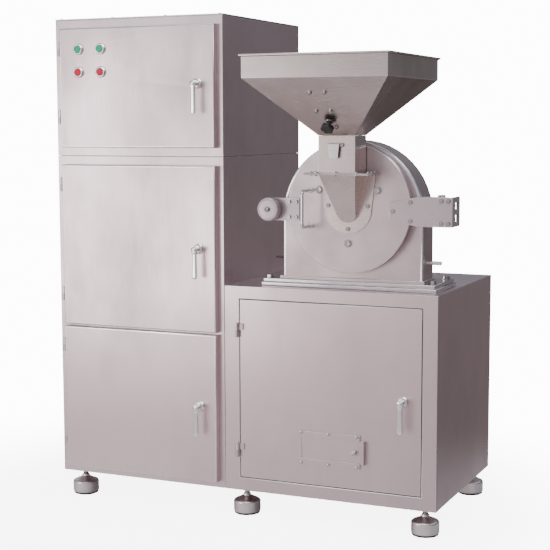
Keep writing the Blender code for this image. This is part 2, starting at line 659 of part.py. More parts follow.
# ---------------------------------------------------------------- low cabinet
def low_cabinet():
    s = SHEET
    x0, x1, z0, z1 = FLUSH
    g = FLUSH_DOOR_GAP
    body = box(LOW_LEFT, LOW_RIGHT, 0, DEPTH, FLOOR, LOW_TOP)
    half = DISCHARGE_HALF_WIDTH
    slot = GUARD_HALF - 0.006
    cuts = [
        box(LOW_LEFT + s, LOW_RIGHT - s, s, WALL_Y, FLOOR + s, LOW_TOP - s),
        box(LOW_LEFT + s, LOW_RIGHT - s, WALL_Y + s, DEPTH - s, FLOOR + s, LOW_TOP - s),
        box(x0 - g, x1 + g, -0.01, s + 0.01, z0 - g, z1 + g),
        box(MILL_X - half, MILL_X + half, DISCHARGE_FRONT, DISCHARGE_REAR, LOW_TOP - 0.01, LOW_TOP + 0.01),
        box(MILL_X - slot, MILL_X + slot, GUARD_FRONT + 0.003, GUARD_REAR - 0.003, LOW_TOP - 0.01,
            LOW_TOP + 0.01),
        box(LOW_LEFT + 0.110, LOW_RIGHT - 0.110, DEPTH - 0.01, DEPTH + 0.01, FLOOR + 0.060, LOW_TOP - 0.100),
    ]
    shell = node("mill_cabinet_shell", STEEL, [body], cuts)
    join_after(shell, fixed_knuckles(x0, 0.0, z0, z1, s * 0.9, FLUSH_HINGE_INSETS))
    panel = box(LOW_LEFT + 0.085, LOW_RIGHT - 0.085, DEPTH + GAP, REAR_END, FLOOR + 0.035, LOW_TOP - 0.075)
    louvres = [box(MILL_X - 0.160, MILL_X + 0.020, DEPTH - 0.01, DEPTH + 0.01, z, z + 0.010)
               for z in (FLOOR + 0.100, FLOOR + 0.130, FLOOR + 0.160, FLOOR + 0.190)]
    node("rear_panel", STEEL, [panel], louvres)
    flush_door()
    tray("collecting_bin", (x0 + 0.016, x1 - 0.016, FLUSH_DOOR_THICKNESS + 0.012, WALL_Y - 0.012,
                            FLOOR + s + 0.004, FLOOR + 0.420))


def flush_door():
    x0, x1, z0, z1 = FLUSH
    knuckles, bores = door_knuckles(x0, 0.0, z0, z1, -HINGE_LEAF - 0.0005, 0.014, FLUSH_HINGE_INSETS)
    rosette, hole = lock_seat(MILL_LEVER_X, 0.0, MILL_LEVER_Z, 0.03)
    left = x0 + HATCH_LEFT
    low = z0 + HATCH_LOW
    window = box(left + 0.035, left + HATCH_LENGTH - 0.025, -0.01, 0.01, low + 0.025,
                 low + HATCH_HEIGHT - 0.025)
    skin = folded_door(x0, x1, 0, FLUSH_DOOR_THICKNESS, z0, z1, 0.0012)
    x, y = hinge_axis(x0, 0.0)
    node("mill_cabinet_door", STEEL, [skin, *knuckles, rosette], [hole, window, *bores], (x, y, z0))
    lever("mill_door_lever", MILL_LEVER_X, 0.0, MILL_LEVER_Z, FLUSH_DOOR_THICKNESS + 0.002)
    hatch(left, low)


def hatch(left, low):
    """Two guide rails and a stop strip, and a plate that slides between them."""
    right = left + HATCH_LENGTH
    high = low + HATCH_HEIGHT
    r = HATCH_RAIL
    rails = [
        box(left, right, -0.0034, -GAP, low, low + r),
        box(left, right, -0.0034, -GAP, high - r, high),
        box(left, left + 0.013, -0.0034, -GAP, low + 0.001, high - 0.001),
        box(left, right, -0.0054, -0.0032, low + 0.0005, low + r + 0.004),
        box(left, right, -0.0054, -0.0032, high - r - 0.004, high - 0.0005),
    ]
    node("hatch_frame", STEEL, rails)
    z0, z1 = low + r + 0.0005, high - r - 0.0005
    middle = (low + high) / 2
    plate = [
        box(left + 0.0145, right + 0.017, -0.0028, -0.0008, z0, z1),
        box(right + 0.015, right + 0.017, -0.016, -0.001, z0, z1),
        rod((right - 0.018, 0, middle - 0.001), "Y", 0.007, -0.016, -0.002, 14),
    ]
    node("hatch_slide", STEEL, plate, anchor=(left, 0, middle))


# ---------------------------------------------------------------- mill
def base_plates():
    half = DISCHARGE_HALF_WIDTH
    for name, z, inset in (("base_lower_plate", PLATE_1, 0.0), ("base_upper_plate", PLATE_2, 0.006)):
        plate = box(MILL_X - PLATE_LEFT + inset, MILL_X + PLATE_RIGHT - inset, PLATE_FRONT + inset / 2,
                    PLATE_REAR - inset / 2, z, z + PLATE_THICKNESS)
        window = box(MILL_X - half, MILL_X + half, DISCHARGE_FRONT, DISCHARGE_REAR, z - 0.01, z + 0.03)
        node(name, SATIN, [plate], [window])


def arch(margin, base):
    """The casing's outline, margin inside its outer face, standing on base."""
    half = CASING_HALF_WIDTH - margin
    spring = PLATE_TOP + GAP + CASING_SPRING
    return [(MILL_X - half, base), (MILL_X + half, base), *arc((MILL_X, spring), half, 0, 180, 24)]


def eased_arch(base, front, rear, ease):
    """The casing's outline swept from front to rear, with its front edge rounded."""
    soft = ease * 0.29
    levels = [(ease, front), (soft, front + soft), (0, front + ease), (0, rear)]
    bm = bmesh.new()
    rows = [[bm.verts.new((x, y, z)) for x, z in arch(margin, base)] for margin, y in levels]
    for near, far in zip(rows, rows[1:]):
        for i in range(len(near)):
            j = (i + 1) % len(near)
            bm.faces.new((near[i], near[j], far[j], far[i]))
    bm.faces.new(rows[0])
    bm.faces.new(rows[-1])
    return finished(bm)


def casing():
    base = PLATE_TOP + GAP
    w = CASING_WALL
    half = CASING_HALF_WIDTH
    centre = (MILL_X, 0, SHAFT_Z)
    front, rear = CASING_FRONT, CASING_REAR
    body = eased_arch(base, front, rear, CASING_EASE)
    flange = box(MILL_X - half - 0.006, MILL_X + half + 0.006, front - 0.006, rear + 0.006, base,
                 base + CASING_FLANGE)
    cuts = [
        prism(arch(w, base - 0.01), front + w, rear - w - 0.002),
        rod(centre, "Y", CHAMBER_RADIUS, front - 0.01, front + w + 0.001, 40),
        rod(centre, "Y", SHAFT_RADIUS + 0.010, rear - 0.02, rear + 0.01, 20),
    ]
    made = node("mill_casing", SATIN, [body, flange], cuts)
    hinge_hole = rod((PIN_X, PIN_Y, 0), "Z", DOOR_HINGE_PIN_RADIUS + 0.0006, SHAFT_Z - 0.06, SHAFT_Z + 0.05,
                     16)
    screw_hole = rod((CLAMP_X, 0, CLAMP_Z), "Y", CLAMP_SCREW_RADIUS + 0.0015, CLAMP_LUG_FRONT - 0.01,
                     CLAMP_LUG_FRONT + 0.020, 16)
    join_after(made, casing_lugs(), [hinge_hole, screw_hole])


def casing_lugs():
    """Hinge ears on the right, the clamp screw's lug on the left, and the two screen lock screws."""
    half = CASING_HALF_WIDTH
    right, left = MILL_X + half, MILL_X - half
    r = HINGE_KNUCKLE_RADIUS
    shapes = []
    for low in (SHAFT_Z + 0.0245, SHAFT_Z - 0.0485):
        ear = [(right - EAR_ROOT, PIN_Y - r), *arc((PIN_X, PIN_Y), r, -90, 90, 8),
               (right - EAR_ROOT, PIN_Y + r)]
        shapes.append(prism(ear, low, low + 0.012, "Z"))
    half_lug = CLAMP_LUG_HALF
    lug = [(left + 0.003, CLAMP_Z - half_lug), (left + 0.003, CLAMP_Z + half_lug),
           *arc((CLAMP_X, CLAMP_Z), half_lug, 90, 270, 10)]
    shapes.append(prism(lug, CLAMP_LUG_FRONT, CLAMP_LUG_REAR))
    z = PLATE_TOP + 0.064
    y = CASING_FRONT + CASING_DEPTH / 2
    end, shoulder = right + LOCK_SCREW_LENGTH, right + 0.015
    shapes.append(rod((0, y, z), "X", LOCK_SCREW_RADIUS, left - LOCK_SCREW_LENGTH, left + 0.003, 10))
    profile = [(0, right - 0.003), (LOCK_SCREW_RADIUS, right - 0.003), (LOCK_SCREW_RADIUS, shoulder),
               (LOCK_SCREW_HEAD, shoulder), (LOCK_SCREW_HEAD, end), (0, end)]
    shapes.append(turned(profile, (0, y, z), "X", 12))
    return shapes


def chamber_door():
    centre = (MILL_X, 0, SHAFT_Z)
    r = DOOR_RADIUS
    profile = [(0, DOOR_FACE), (r - 0.003, DOOR_FACE), (r, DOOR_FACE + 0.003), (r, DOOR_BACK),
               (r - 0.014, DOOR_BACK),
               (r - 0.014, DOOR_FACE + DOOR_PLATE), (0, DOOR_FACE + DOOR_PLATE)]
    feed = box(MILL_X - 0.040, MILL_X + 0.040, DOOR_FACE - 0.01, DOOR_BACK, SHAFT_Z - 0.036, SHAFT_Z + 0.050)
    node("chamber_door", SATIN, [turned(profile, centre, "Y", 48)], [feed], (PIN_X, PIN_Y, SHAFT_Z))
    start = DOOR_FACE + DOOR_PLATE + GAP
    ring = [(0.066, start), (0.150, start), (0.150, start + 0.011), (0.066, start + 0.011)]
    teeth = []
    for i in range(12):
        tooth = box(0.122, 0.142, -0.006, 0.006, start + 0.010, start + 0.030)
        # the tooth is drawn on the X axis and depth, then turned about the shaft
        turn = Matrix.Translation(centre) @ Matrix.Rotation(math.radians(30 * i + 15), 4, "Y")
        bmesh.ops.transform(tooth, matrix=turn @ Matrix.Rotation(-math.pi / 2, 4, "X"), verts=tooth.verts)
        teeth.append(tooth)
    shapes = [turned(ring, centre, "Y", 32, True), *teeth]
    node("toothed_disc", IRON, shapes, anchor=(PIN_X, PIN_Y, SHAFT_Z))


def chute_outline(inset, top):
    """A V with a round toe, seen from the front."""
    half = THROAT_HALF_WIDTH - inset
    toe = CHUTE_TOE_RADIUS - inset
    toe_z = SHAFT_Z + CHUTE_BOTTOM + CHUTE_TOE_RADIUS
    return [(MILL_X + half, top), (MILL_X - half, top), *arc((MILL_X, toe_z), toe, 180, 360, 12)]


def chute_front(inset):
    """The sloping front: how far forward it stands at each height."""
    run = THROAT_FRONT - (DOOR_FACE - CHUTE_TOE_DEPTH)
    rise = FLANGE_Z - (SHAFT_Z + CHUTE_BOTTOM)
    return lambda x, z: DOOR_FACE - CHUTE_TOE_DEPTH + inset * 1.3 + run * (z - SHAFT_Z - CHUTE_BOTTOM) / rise


def feed_path():
    t = FEED_SHEET
    back = DOOR_FACE - GAP
    half = THROAT_HALF_WIDTH
    body = prism(chute_outline(0, FLANGE_Z), chute_front(0), back)
    collar_half = 0.079
    toe_z = SHAFT_Z + COLLAR_BOTTOM + collar_half
    collar = [(MILL_X + 0.092, FLANGE_Z), (MILL_X - 0.092, FLANGE_Z),
              *arc((MILL_X, toe_z), collar_half, 180, 360, 16)]
    flange = (MILL_X - FLANGE_HALF_WIDTH, MILL_X + FLANGE_HALF_WIDTH, THROAT_FRONT - FLANGE_FRONT_LIP, back)
    plates = [prism(collar, back - t, back), box(*flange, FLANGE_Z - FLANGE_THICKNESS, FLANGE_Z)]
    hollow = prism(chute_outline(t, FLANGE_Z + 0.01), chute_front(t), back + 0.01)
    door = (PIN_X, PIN_Y, SHAFT_Z)
    node("feed_chute", SATIN, [body, *plates], [hollow], door)
    x0, x1, y0, y1 = MILL_X - half, MILL_X + half, THROAT_FRONT, THROAT_BACK
    z0, z1 = FLANGE_Z + GAP, HOPPER_Z
    z_flange = z0 + FLANGE_THICKNESS
    sections = [(flange[0], flange[1], flange[2], y1, z0), (flange[0], flange[1], flange[2], y1, z_flange),
                (x0, x1, y0, y1 - 0.0002, z_flange), (x0, x1, y0, y1 - 0.0002, z1),
                (x0 + t, x1 - t, y0 + t, y1 - t, z1),
                (x0 + t, x1 - t, y0 + t, y1 - t, z0)]
    gate_z = SHAFT_Z + GATE_HEIGHT
    slot = box(MILL_X - GATE_WIDTH / 2 - 0.008, MILL_X + GATE_WIDTH / 2 - 0.006, y0 - 0.01, y0 + 0.01,
               gate_z - 0.002, gate_z + 0.002)
    node("throat", SATIN, [loft(sections)], [slot], door)
    gate_x = MILL_X - 0.007
    gate_half = GATE_WIDTH / 2 - 0.0008
    tab_y = y0 - 0.010
    plate = box(gate_x - gate_half, gate_x + gate_half, tab_y, y1 - t - 0.001, gate_z - 0.001, gate_z + 0.001)
    tab = [(gate_x - gate_half, gate_z), (gate_x + gate_half, gate_z),
           (gate_x + gate_half - 0.005, gate_z - GATE_TAB),
           (gate_x - gate_half + 0.005, gate_z - GATE_TAB)]
    node("feed_gate", SATIN, [plate, prism(tab, tab_y - 0.001, tab_y + 0.001)], anchor=door)
    hopper(x0, x1, y0, y1)


def hopper(x0, x1, y0, y1):
    t = FEED_SHEET
    a, b, lip = HOPPER_HALF_WIDTH, HOPPER_HALF_DEPTH, HOPPER_LIP
    y = THROAT_MIDDLE
    z0 = HOPPER_Z + GAP
    band = SHAFT_Z + HOPPER_BAND_LOW
    top = SHAFT_Z + HOPPER_TOP

    def level(grow, z):
        return (MILL_X - a - grow, MILL_X + a + grow, y - b - grow, y + b + grow, z)

    sections = [(x0, x1, y0, y1, z0), level(0, band), level(0, top - 0.008), level(lip, top - 0.006),
                level(lip, top),
                level(-t, top), level(-t, band + 0.001), (x0 + t, x1 - t, y0 + t, y1 - t, z0)]
    node("hopper", SATIN, [loft(sections)], anchor=(PIN_X, PIN_Y, SHAFT_Z))
    foot, normal, along = hopper_slope(y0, z0, band)
    spot = foot + along * KNOB_UP_SLOPE + Vector((KNOB_SIDE, 0, 0))
    turn = normal.to_track_quat("Z", "Y").to_matrix().to_4x4()
    star = arc((0, 0), 1.0, 0, 360, 24)[:-1]
    points = [(x * 0.0195 * (1 + 0.09 * math.cos(6 * k * math.pi / 12)),
               y2 * 0.0195 * (1 + 0.09 * math.cos(6 * k * math.pi / 12))) for k, (x, y2) in enumerate(star)]
    knob = prism(points, 0.014, 0.030, "Z")
    stem = rod((0, 0, 0), "Z", 0.007, GAP * 2, 0.016, 12)
    for shape in (knob, stem):
        bmesh.ops.transform(shape, matrix=Matrix.Translation(spot) @ turn, verts=shape.verts)
    node("throttle_knob", BLACK, [knob, stem], anchor=tuple(spot))


def hopper_slope(y0, z0, band):
    """Foot of the sloping front, its outward normal and its direction uphill."""
    foot = Vector((MILL_X, y0, z0))
    head = Vector((MILL_X, THROAT_MIDDLE - HOPPER_HALF_DEPTH, band))
    along = (head - foot).normalized()
    return foot, Vector((0, -along.z, along.y)), along


def door_furniture():
    door = (PIN_X, PIN_Y, SHAFT_Z)
    x = MILL_X + PULL_OFFSET
    z_mid = SHAFT_Z - 0.003
    half = PULL_LENGTH / 2
    front = DOOR_FACE - PULL_STAND_OFF
    bend = 0.012
    upper = arc((front + bend, z_mid + half - bend), bend, 90, 180, 5)
    lower = arc((front + bend, z_mid - half + bend), bend, 180, 270, 5)
    back = DOOR_FACE - GAP
    path = [(back, z_mid + half), *upper, *lower, (back, z_mid - half)]
    node("pull_handle", CHROME, [bent_rod([(x, y, z) for y, z in path], PULL_RADIUS, 10)], anchor=door)
    plate_back = DOOR_FACE - GAP
    plate_front = plate_back - CLAMP_PLATE_THICKNESS
    left = CLAMP_X - 0.020
    right = CLAMP_X + 0.096
    h = CLAMP_PLATE_HALF
    plate = box(left, right, plate_front, plate_back, CLAMP_Z - h, CLAMP_Z + h)
    axis = (CLAMP_X, 0, CLAMP_Z)
    hole = rod(axis, "Y", CLAMP_SCREW_RADIUS + 0.0006, plate_front - 0.01, plate_back + 0.01, 16)
    node("clamp_plate", SATIN, [plate], [hole], door)
    knob_back = plate_front - GAP
    screw = CLAMP_SCREW_RADIUS
    tip = CLAMP_LUG_FRONT + CLAMP_SCREW_GRIP
    collar = plate_back + GAP
    profile = [(0, knob_back - 0.038), (screw, knob_back - 0.038), (screw, collar),
               (CLAMP_COLLAR_RADIUS, collar),
               (CLAMP_COLLAR_RADIUS, collar + 0.005), (screw, collar + 0.005), (screw, tip - 0.002),
               (screw - 0.002, tip), (0, tip)]
    node("clamp_screw", SATIN, [turned(profile, axis, "Y", 16)], anchor=(CLAMP_X, knob_back, CLAMP_Z))
    r = CLAMP_KNOB_RADIUS
    bore = screw + 0.0006
    profile = [(bore, knob_back), (0.022, knob_back), (0.024, knob_back - 0.008), (r, knob_back - 0.010),
               (r, knob_back - 0.030), (r - 0.004, knob_back - 0.034), (bore, knob_back - 0.034)]
    node("clamp_knob", SATIN, [turned(profile, axis, "Y", 24, True)], anchor=(CLAMP_X, knob_back, CLAMP_Z))
    chamber_hinge(door)


def chamber_hinge(door):
    z = SHAFT_Z - 0.0065
    full, tip = ARM_HALF_HEIGHT, ARM_TIP_HALF
    left, right = MILL_X + ARM_LEFT, MILL_X + ARM_RIGHT
    outline = [(left, z - tip), (left + 0.089, z - full), (right, z - full), (right, z + full),
               (left + 0.089, z + full),
               (left, z + tip)]
    back = ARM_FRONT + ARM_THICKNESS
    node("hinge_arm", SATIN, [prism(outline, ARM_FRONT, back)], anchor=door)
    flange = box(MILL_X + DOOR_RADIUS + 0.046, right, back + GAP, back + 0.008, z - full, z + full)
    leg = box(right - 0.008, right, back + GAP, back + 0.075, z - full, z + full)
    low, high = SHAFT_Z - 0.0365 + GAP, SHAFT_Z + 0.0245 - GAP
    knuckle = rod((PIN_X, PIN_Y, 0), "Z", HINGE_KNUCKLE_RADIUS, low, high, 20)
    web = box(PIN_X - 0.010, PIN_X + 0.010, back + 0.006, PIN_Y, low + 0.0005, high - 0.0005)
    bore = rod((PIN_X, PIN_Y, 0), "Z", DOOR_HINGE_PIN_RADIUS + 0.0006, low - 0.01, high + 0.01, 16)
    slots = [box(right - 0.02, right + 0.01, back + 0.027, back + 0.058, z + side - 0.011, z + side + 0.011)
             for side in (0.0185, -0.0195)]
    node("hinge_bracket", SATIN, [flange, leg, knuckle, web], [bore, *slots], door)
    low_ear = SHAFT_Z - 0.0485
    high_ear = SHAFT_Z + 0.0365
    r = DOOR_HINGE_PIN_RADIUS
    profile = [(0, low_ear - 0.006), (r, low_ear - 0.006), (r, high_ear + GAP), (r + 0.004, high_ear + GAP),
               (r + 0.004, high_ear + 0.007), (0, high_ear + 0.007)]
    node("chamber_hinge_pin", SATIN, [turned(profile, (PIN_X, PIN_Y, 0), "Z", 16)])


# ---------------------------------------------------------------- rotor and drive
def rotor():
    centre = (MILL_X, 0, SHAFT_Z)
    y0 = CASING_FRONT + 0.024
    near, far = y0 + 0.008, y0 + 0.036
    end = GUARD_REAR - 0.006
    r, hub, disc = SHAFT_RADIUS, ROTOR_HUB_RADIUS, ROTOR_DISC_RADIUS
    profile = [(0, y0 - 0.010), (r, y0 - 0.010), (r, y0), (disc, y0), (disc, near), (hub, near), (hub, far),
               (disc, far), (disc, far + 0.008), (r, far + 0.008), (r, end), (0, end)]
    shapes = [turned(profile, centre, "Y", 24)]
    for i in range(4):
        x, z = hammer_pivot(i)
        shapes.append(rod((x, 0, z), "Y", HAMMER_PIN_RADIUS, y0 + 0.002, far + 0.006, 8))
    node("rotor", IRON, shapes, anchor=centre)
    for i in range(4):
        hammer(i, near + 0.001, far - 0.001)
    screen = SCREEN_RADIUS
    ring = [(screen - SCREEN_THICKNESS, CASING_FRONT + 0.014), (screen, CASING_FRONT + 0.014),
            (screen, CASING_REAR - CASING_WALL - 0.003),
            (screen - SCREEN_THICKNESS, CASING_REAR - CASING_WALL - 0.003)]
    node("screen_ring", STEEL, [turned(ring, centre, "Y", 40, True)])


def hammer_pivot(i):
    angle = math.radians(45 + 90 * i)
    return MILL_X + HAMMER_PIN_CIRCLE * math.cos(angle), SHAFT_Z + HAMMER_PIN_CIRCLE * math.sin(angle)


def hammer(i, near, far):
    """A flat beater that hangs straight down from its pin, as it does when the rotor stands still."""
    half = HAMMER_WIDTH / 2
    x, z = hammer_pivot(i)
    outline = [(x - half, z - HAMMER_REACH), (x + half, z - HAMMER_REACH), *arc((x, z), half, 0, 180, 8)]
    hole = rod((x, 0, z), "Y", HAMMER_PIN_RADIUS + 0.0006, near - 0.01, far + 0.01, 12)
    node(f"hammer_{i + 1}", IRON, [prism(outline, near, far)], [hole], (x, 0, z))


def bearing_housing():
    centre = (MILL_X, 0, SHAFT_Z)
    rear = PLATE_REAR - 0.007
    front = CASING_REAR + GAP
    barrel = rod(centre, "Y", 0.058, front, rear, 32)
    base = PLATE_TOP + GAP
    pedestal = prism([(MILL_X - 0.080, base), (MILL_X + 0.080, base), (MILL_X + 0.045, SHAFT_Z),
                      (MILL_X - 0.045, SHAFT_Z)], front + 0.020, rear - 0.006)
    sole = box(MILL_X - 0.115, MILL_X + 0.115, front + 0.012, rear - 0.0005, base, base + 0.014)
    node("bearing_housing", IRON, [barrel, pedestal, sole],
         [rod(centre, "Y", SHAFT_RADIUS + 0.0006, 0.1, 0.4, 32)])


def pulley_profile(radius, bore):
    y0 = PULLEY_FRONT
    y1 = y0 + PULLEY_WIDTH
    rim = radius + 0.006
    return [(bore, y0), (rim, y0), (rim, y0 + 0.002), (radius, y0 + 0.003), (radius, y1 - 0.003),
            (rim, y1 - 0.002),
            (rim, y1), (bore, y1)]


def drive():
    mill = (MILL_X, 0, SHAFT_Z)
    motor = (MILL_X, 0, MOTOR_Z)
    profile = pulley_profile(MILL_PULLEY_RADIUS, SHAFT_RADIUS + 0.0005)
    node("mill_pulley", IRON, [turned(profile, mill, "Y", 24, True)], anchor=mill)
    shaft = 0.014
    motor_face = PULLEY_FRONT + PULLEY_WIDTH + 0.034
    profile = [(0, PULLEY_FRONT - 0.006), (shaft, PULLEY_FRONT - 0.006),
               *pulley_profile(MOTOR_PULLEY_RADIUS, shaft),
               (shaft, motor_face + 0.050), (0, motor_face + 0.050)]
    node("motor_pulley", IRON, [turned(profile, motor, "Y", 24)], anchor=motor)
    belt()
    r = MOTOR_RADIUS
    end = motor_face + MOTOR_LENGTH
    body = rod(motor, "Y", r, motor_face, end, 28)
    base = FLOOR + SHEET + GAP
    sole = box(MILL_X - 0.110, MILL_X + 0.110, motor_face + 0.040, end - 0.050, base, base + 0.014)
    legs = box(MILL_X - 0.085, MILL_X + 0.085, motor_face + 0.060, end - 0.070, base + 0.010, MOTOR_Z)
    terminals = box(MILL_X - 0.050, MILL_X + 0.050, motor_face + 0.050, motor_face + 0.150, MOTOR_Z,
                    MOTOR_Z + r + 0.045)
    hole = rod(motor, "Y", shaft + 0.0006, motor_face - 0.01, motor_face + 0.060, 32)
    node("motor", PAINT, [body, sole, legs, terminals], [hole])
    belt_guard(mill)


def belt_loop(grow):
    """The belt's line round both pulleys, grow outside their grooves, as (x, z) points."""
    small, large = MILL_PULLEY_RADIUS + grow, MOTOR_PULLEY_RADIUS + grow
    lean = math.degrees(math.asin((large - small) / (SHAFT_Z - MOTOR_Z)))
    top = arc((MILL_X, SHAFT_Z), small, lean, 180 - lean, 16)
    return top + arc((MILL_X, MOTOR_Z), large, 180 - lean, 360 + lean, 16)


def belt():
    y0 = PULLEY_FRONT + 0.004
    outer = prism(belt_loop(0.001 + BELT_THICKNESS), y0, y0 + BELT_WIDTH)
    inner = prism(belt_loop(0.001), y0 - 0.01, y0 + BELT_WIDTH + 0.01)
    node("drive_belt", RUBBER, [outer], [inner])


def belt_guard(mill):
    t = DOOR_SHEET
    base = LOW_TOP + GAP
    half = GUARD_HALF

    def outline(margin, low):
        return [(MILL_X - half + margin, low), (MILL_X + half - margin, low),
                *arc((MILL_X, SHAFT_Z), half - margin, 0, 180, 16)]

    body = prism(outline(0, base), GUARD_FRONT, GUARD_REAR)
    hollow = prism(outline(t, base - 0.01), GUARD_FRONT + t, GUARD_REAR - t)
    hole = rod(mill, "Y", SHAFT_RADIUS + 0.008, GUARD_FRONT - 0.01, GUARD_FRONT + 0.01, 20)
    node("belt_guard", STEEL, [body], [hollow, hole])


# ---------------------------------------------------------------- the machine
for old in list(bpy.data.objects):
    bpy.data.objects.remove(old, do_unlink=True)
MACHINE = bpy.data.objects.new("machine", None)
MACHINE.location = (-CENTRE_X, -CENTRE_Y, 0)
bpy.context.scene.collection.objects.link(MACHINE)

tall_cabinet()
buttons()
tall_inside()
feet()
low_cabinet()
base_plates()
casing()
chamber_door()
feed_path()
door_furniture()
rotor()
bearing_housing()
drive()
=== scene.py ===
"""Looks of a stainless hammer mill and its hopper, on a low cabinet beside a tall control cabinet."""

import json
import math

import bmesh
import bpy
from mathutils import Matrix, Vector

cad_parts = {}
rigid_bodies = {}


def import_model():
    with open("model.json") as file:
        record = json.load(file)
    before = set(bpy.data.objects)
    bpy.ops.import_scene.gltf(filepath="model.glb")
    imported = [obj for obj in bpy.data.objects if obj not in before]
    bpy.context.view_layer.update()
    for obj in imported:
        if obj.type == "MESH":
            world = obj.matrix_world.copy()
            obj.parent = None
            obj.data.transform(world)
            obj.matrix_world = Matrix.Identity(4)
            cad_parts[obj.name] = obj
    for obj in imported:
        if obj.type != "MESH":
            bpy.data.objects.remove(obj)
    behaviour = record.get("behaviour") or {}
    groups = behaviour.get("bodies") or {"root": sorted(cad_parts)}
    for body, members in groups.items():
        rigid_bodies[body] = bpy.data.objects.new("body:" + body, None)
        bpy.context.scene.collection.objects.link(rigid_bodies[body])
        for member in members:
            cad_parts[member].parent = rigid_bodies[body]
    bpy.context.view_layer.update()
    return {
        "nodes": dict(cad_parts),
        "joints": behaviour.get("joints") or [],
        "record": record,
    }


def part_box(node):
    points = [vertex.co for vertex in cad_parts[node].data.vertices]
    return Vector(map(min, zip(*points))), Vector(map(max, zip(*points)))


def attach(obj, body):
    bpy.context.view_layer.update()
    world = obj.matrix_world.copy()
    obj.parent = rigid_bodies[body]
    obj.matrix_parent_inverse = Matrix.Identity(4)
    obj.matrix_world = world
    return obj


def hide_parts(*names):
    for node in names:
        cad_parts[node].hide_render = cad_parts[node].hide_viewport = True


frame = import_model()
NODES = frame["nodes"]
BODY = {n: b for b, members in frame["record"]["behaviour"]["bodies"].items() for n in members}
JOINTS = {joint["name"]: joint for joint in frame["joints"]}
ROOT = "frame"

RIGHT = Vector((1, 0, 0))
LEFT = -RIGHT
REAR = Vector((0, 1, 0))
FRONT = -REAR
UP = Vector((0, 0, 1))
DOWN = -UP
SHARP = math.radians(50)
EASED_ABOVE = math.radians(34)

# ---------------------------------------------------------------- places taken from the frame
COVER_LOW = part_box("top_cover")[0]
FACE_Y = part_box("chamber_door")[0].y
SHAFT = Vector(JOINTS["rotor_spin"]["pos_m"])
MOTOR_AXIS = Vector(JOINTS["motor_spin"]["pos_m"])


def at(x, y, z):
    """A place measured from the tall cabinet's front left edge and the floor."""
    return Vector((COVER_LOW.x + x, COVER_LOW.y + y, z))


# ---------------------------------------------------------------- nodes
def wired(tree, kind, inputs=(), **settings):
    """A new node in a tree, each input linked to the socket or set to the value that is given for it."""
    made = tree.nodes.new(kind)
    for key, value in settings.items():
        setattr(made, key, value)
    for socket, value in dict(inputs).items():
        if isinstance(value, bpy.types.NodeSocket):
            tree.links.new(value, made.inputs[socket])
        else:
            made.inputs[socket].default_value = value
    return made


# ---------------------------------------------------------------- finishes
class Finish:
    """A material under construction, with its shader and ways to wire patterns into it."""

    def __init__(self, name, colour, metallic, roughness):
        self.material = bpy.data.materials.new(name)
        self.material.use_nodes = True
        self.tree = self.material.node_tree
        self.shader = self.tree.nodes["Principled BSDF"]
        self.shader.inputs["Base Color"].default_value = (*colour, 1.0)
        self.shader.inputs["Metallic"].default_value = metallic
        self.shader.inputs["Roughness"].default_value = roughness
        self.bumps = None

    def node(self, kind, inputs=(), **settings):
        """A new node in the finish's tree."""
        return wired(self.tree, kind, inputs, **settings)

    def noise(self, stretch, detail=2.0, turn=(0, 0, 0), roughness=0.55):
        """Noise on object coordinates, with stretch its number of grains per metre along each axis."""
        place = self.node("ShaderNodeTexCoord")
        mapped = self.node("ShaderNodeMapping", {"Vector": place.outputs["Object"], "Scale": stretch,
                                                 "Rotation": turn})
        grain = self.node("ShaderNodeTexNoise", {"Vector": mapped.outputs["Vector"], "Scale": 1.0,
                                                 "Detail": detail, "Roughness": roughness})
        return grain.outputs["Fac"]

    def ranged(self, value, low, high, start=0.3, end=0.7):
        """Value mapped smoothly from start..end to low..high."""
        limits = {"Value": value, "From Min": start, "From Max": end, "To Min": low, "To Max": high}
        return self.node("ShaderNodeMapRange", limits, interpolation_type="SMOOTHSTEP").outputs["Result"]

    def summed(self, one, other):
        """Two values added."""
        return self.node("ShaderNodeMath", {0: one, 1: other}, operation="ADD").outputs["Value"]

    def tinted(self, factor, other):
        """The base colour turning to other by factor. Calls build on one another."""
        socket = self.shader.inputs["Base Color"]
        colours = {"Factor": factor, "A": socket.default_value[:], "B": (*other, 1.0)}
        mix = self.node("ShaderNodeMix", colours, data_type="RGBA")
        if socket.links:
            self.tree.links.new(socket.links[0].from_socket, mix.inputs["A"])
        self.tree.links.new(mix.outputs["Result"], socket)

    def rough(self, value):
        """The roughness following a value."""
        self.tree.links.new(value, self.shader.inputs["Roughness"])

    def bumped(self, height, distance, strength=1.0):
        """Fine relief added on top of any that is there."""
        bump = self.node("ShaderNodeBump", {"Height": height, "Distance": distance, "Strength": strength})
        if self.bumps:
            self.tree.links.new(self.bumps.outputs["Normal"], bump.inputs["Normal"])
        self.tree.links.new(bump.outputs["Normal"], self.shader.inputs["Normal"])
        self.bumps = bump

    def set(self, **values):
        """Plain values for the shader's own inputs."""
        for name, value in values.items():
            self.shader.inputs[name.replace("_", " ")].default_value = value


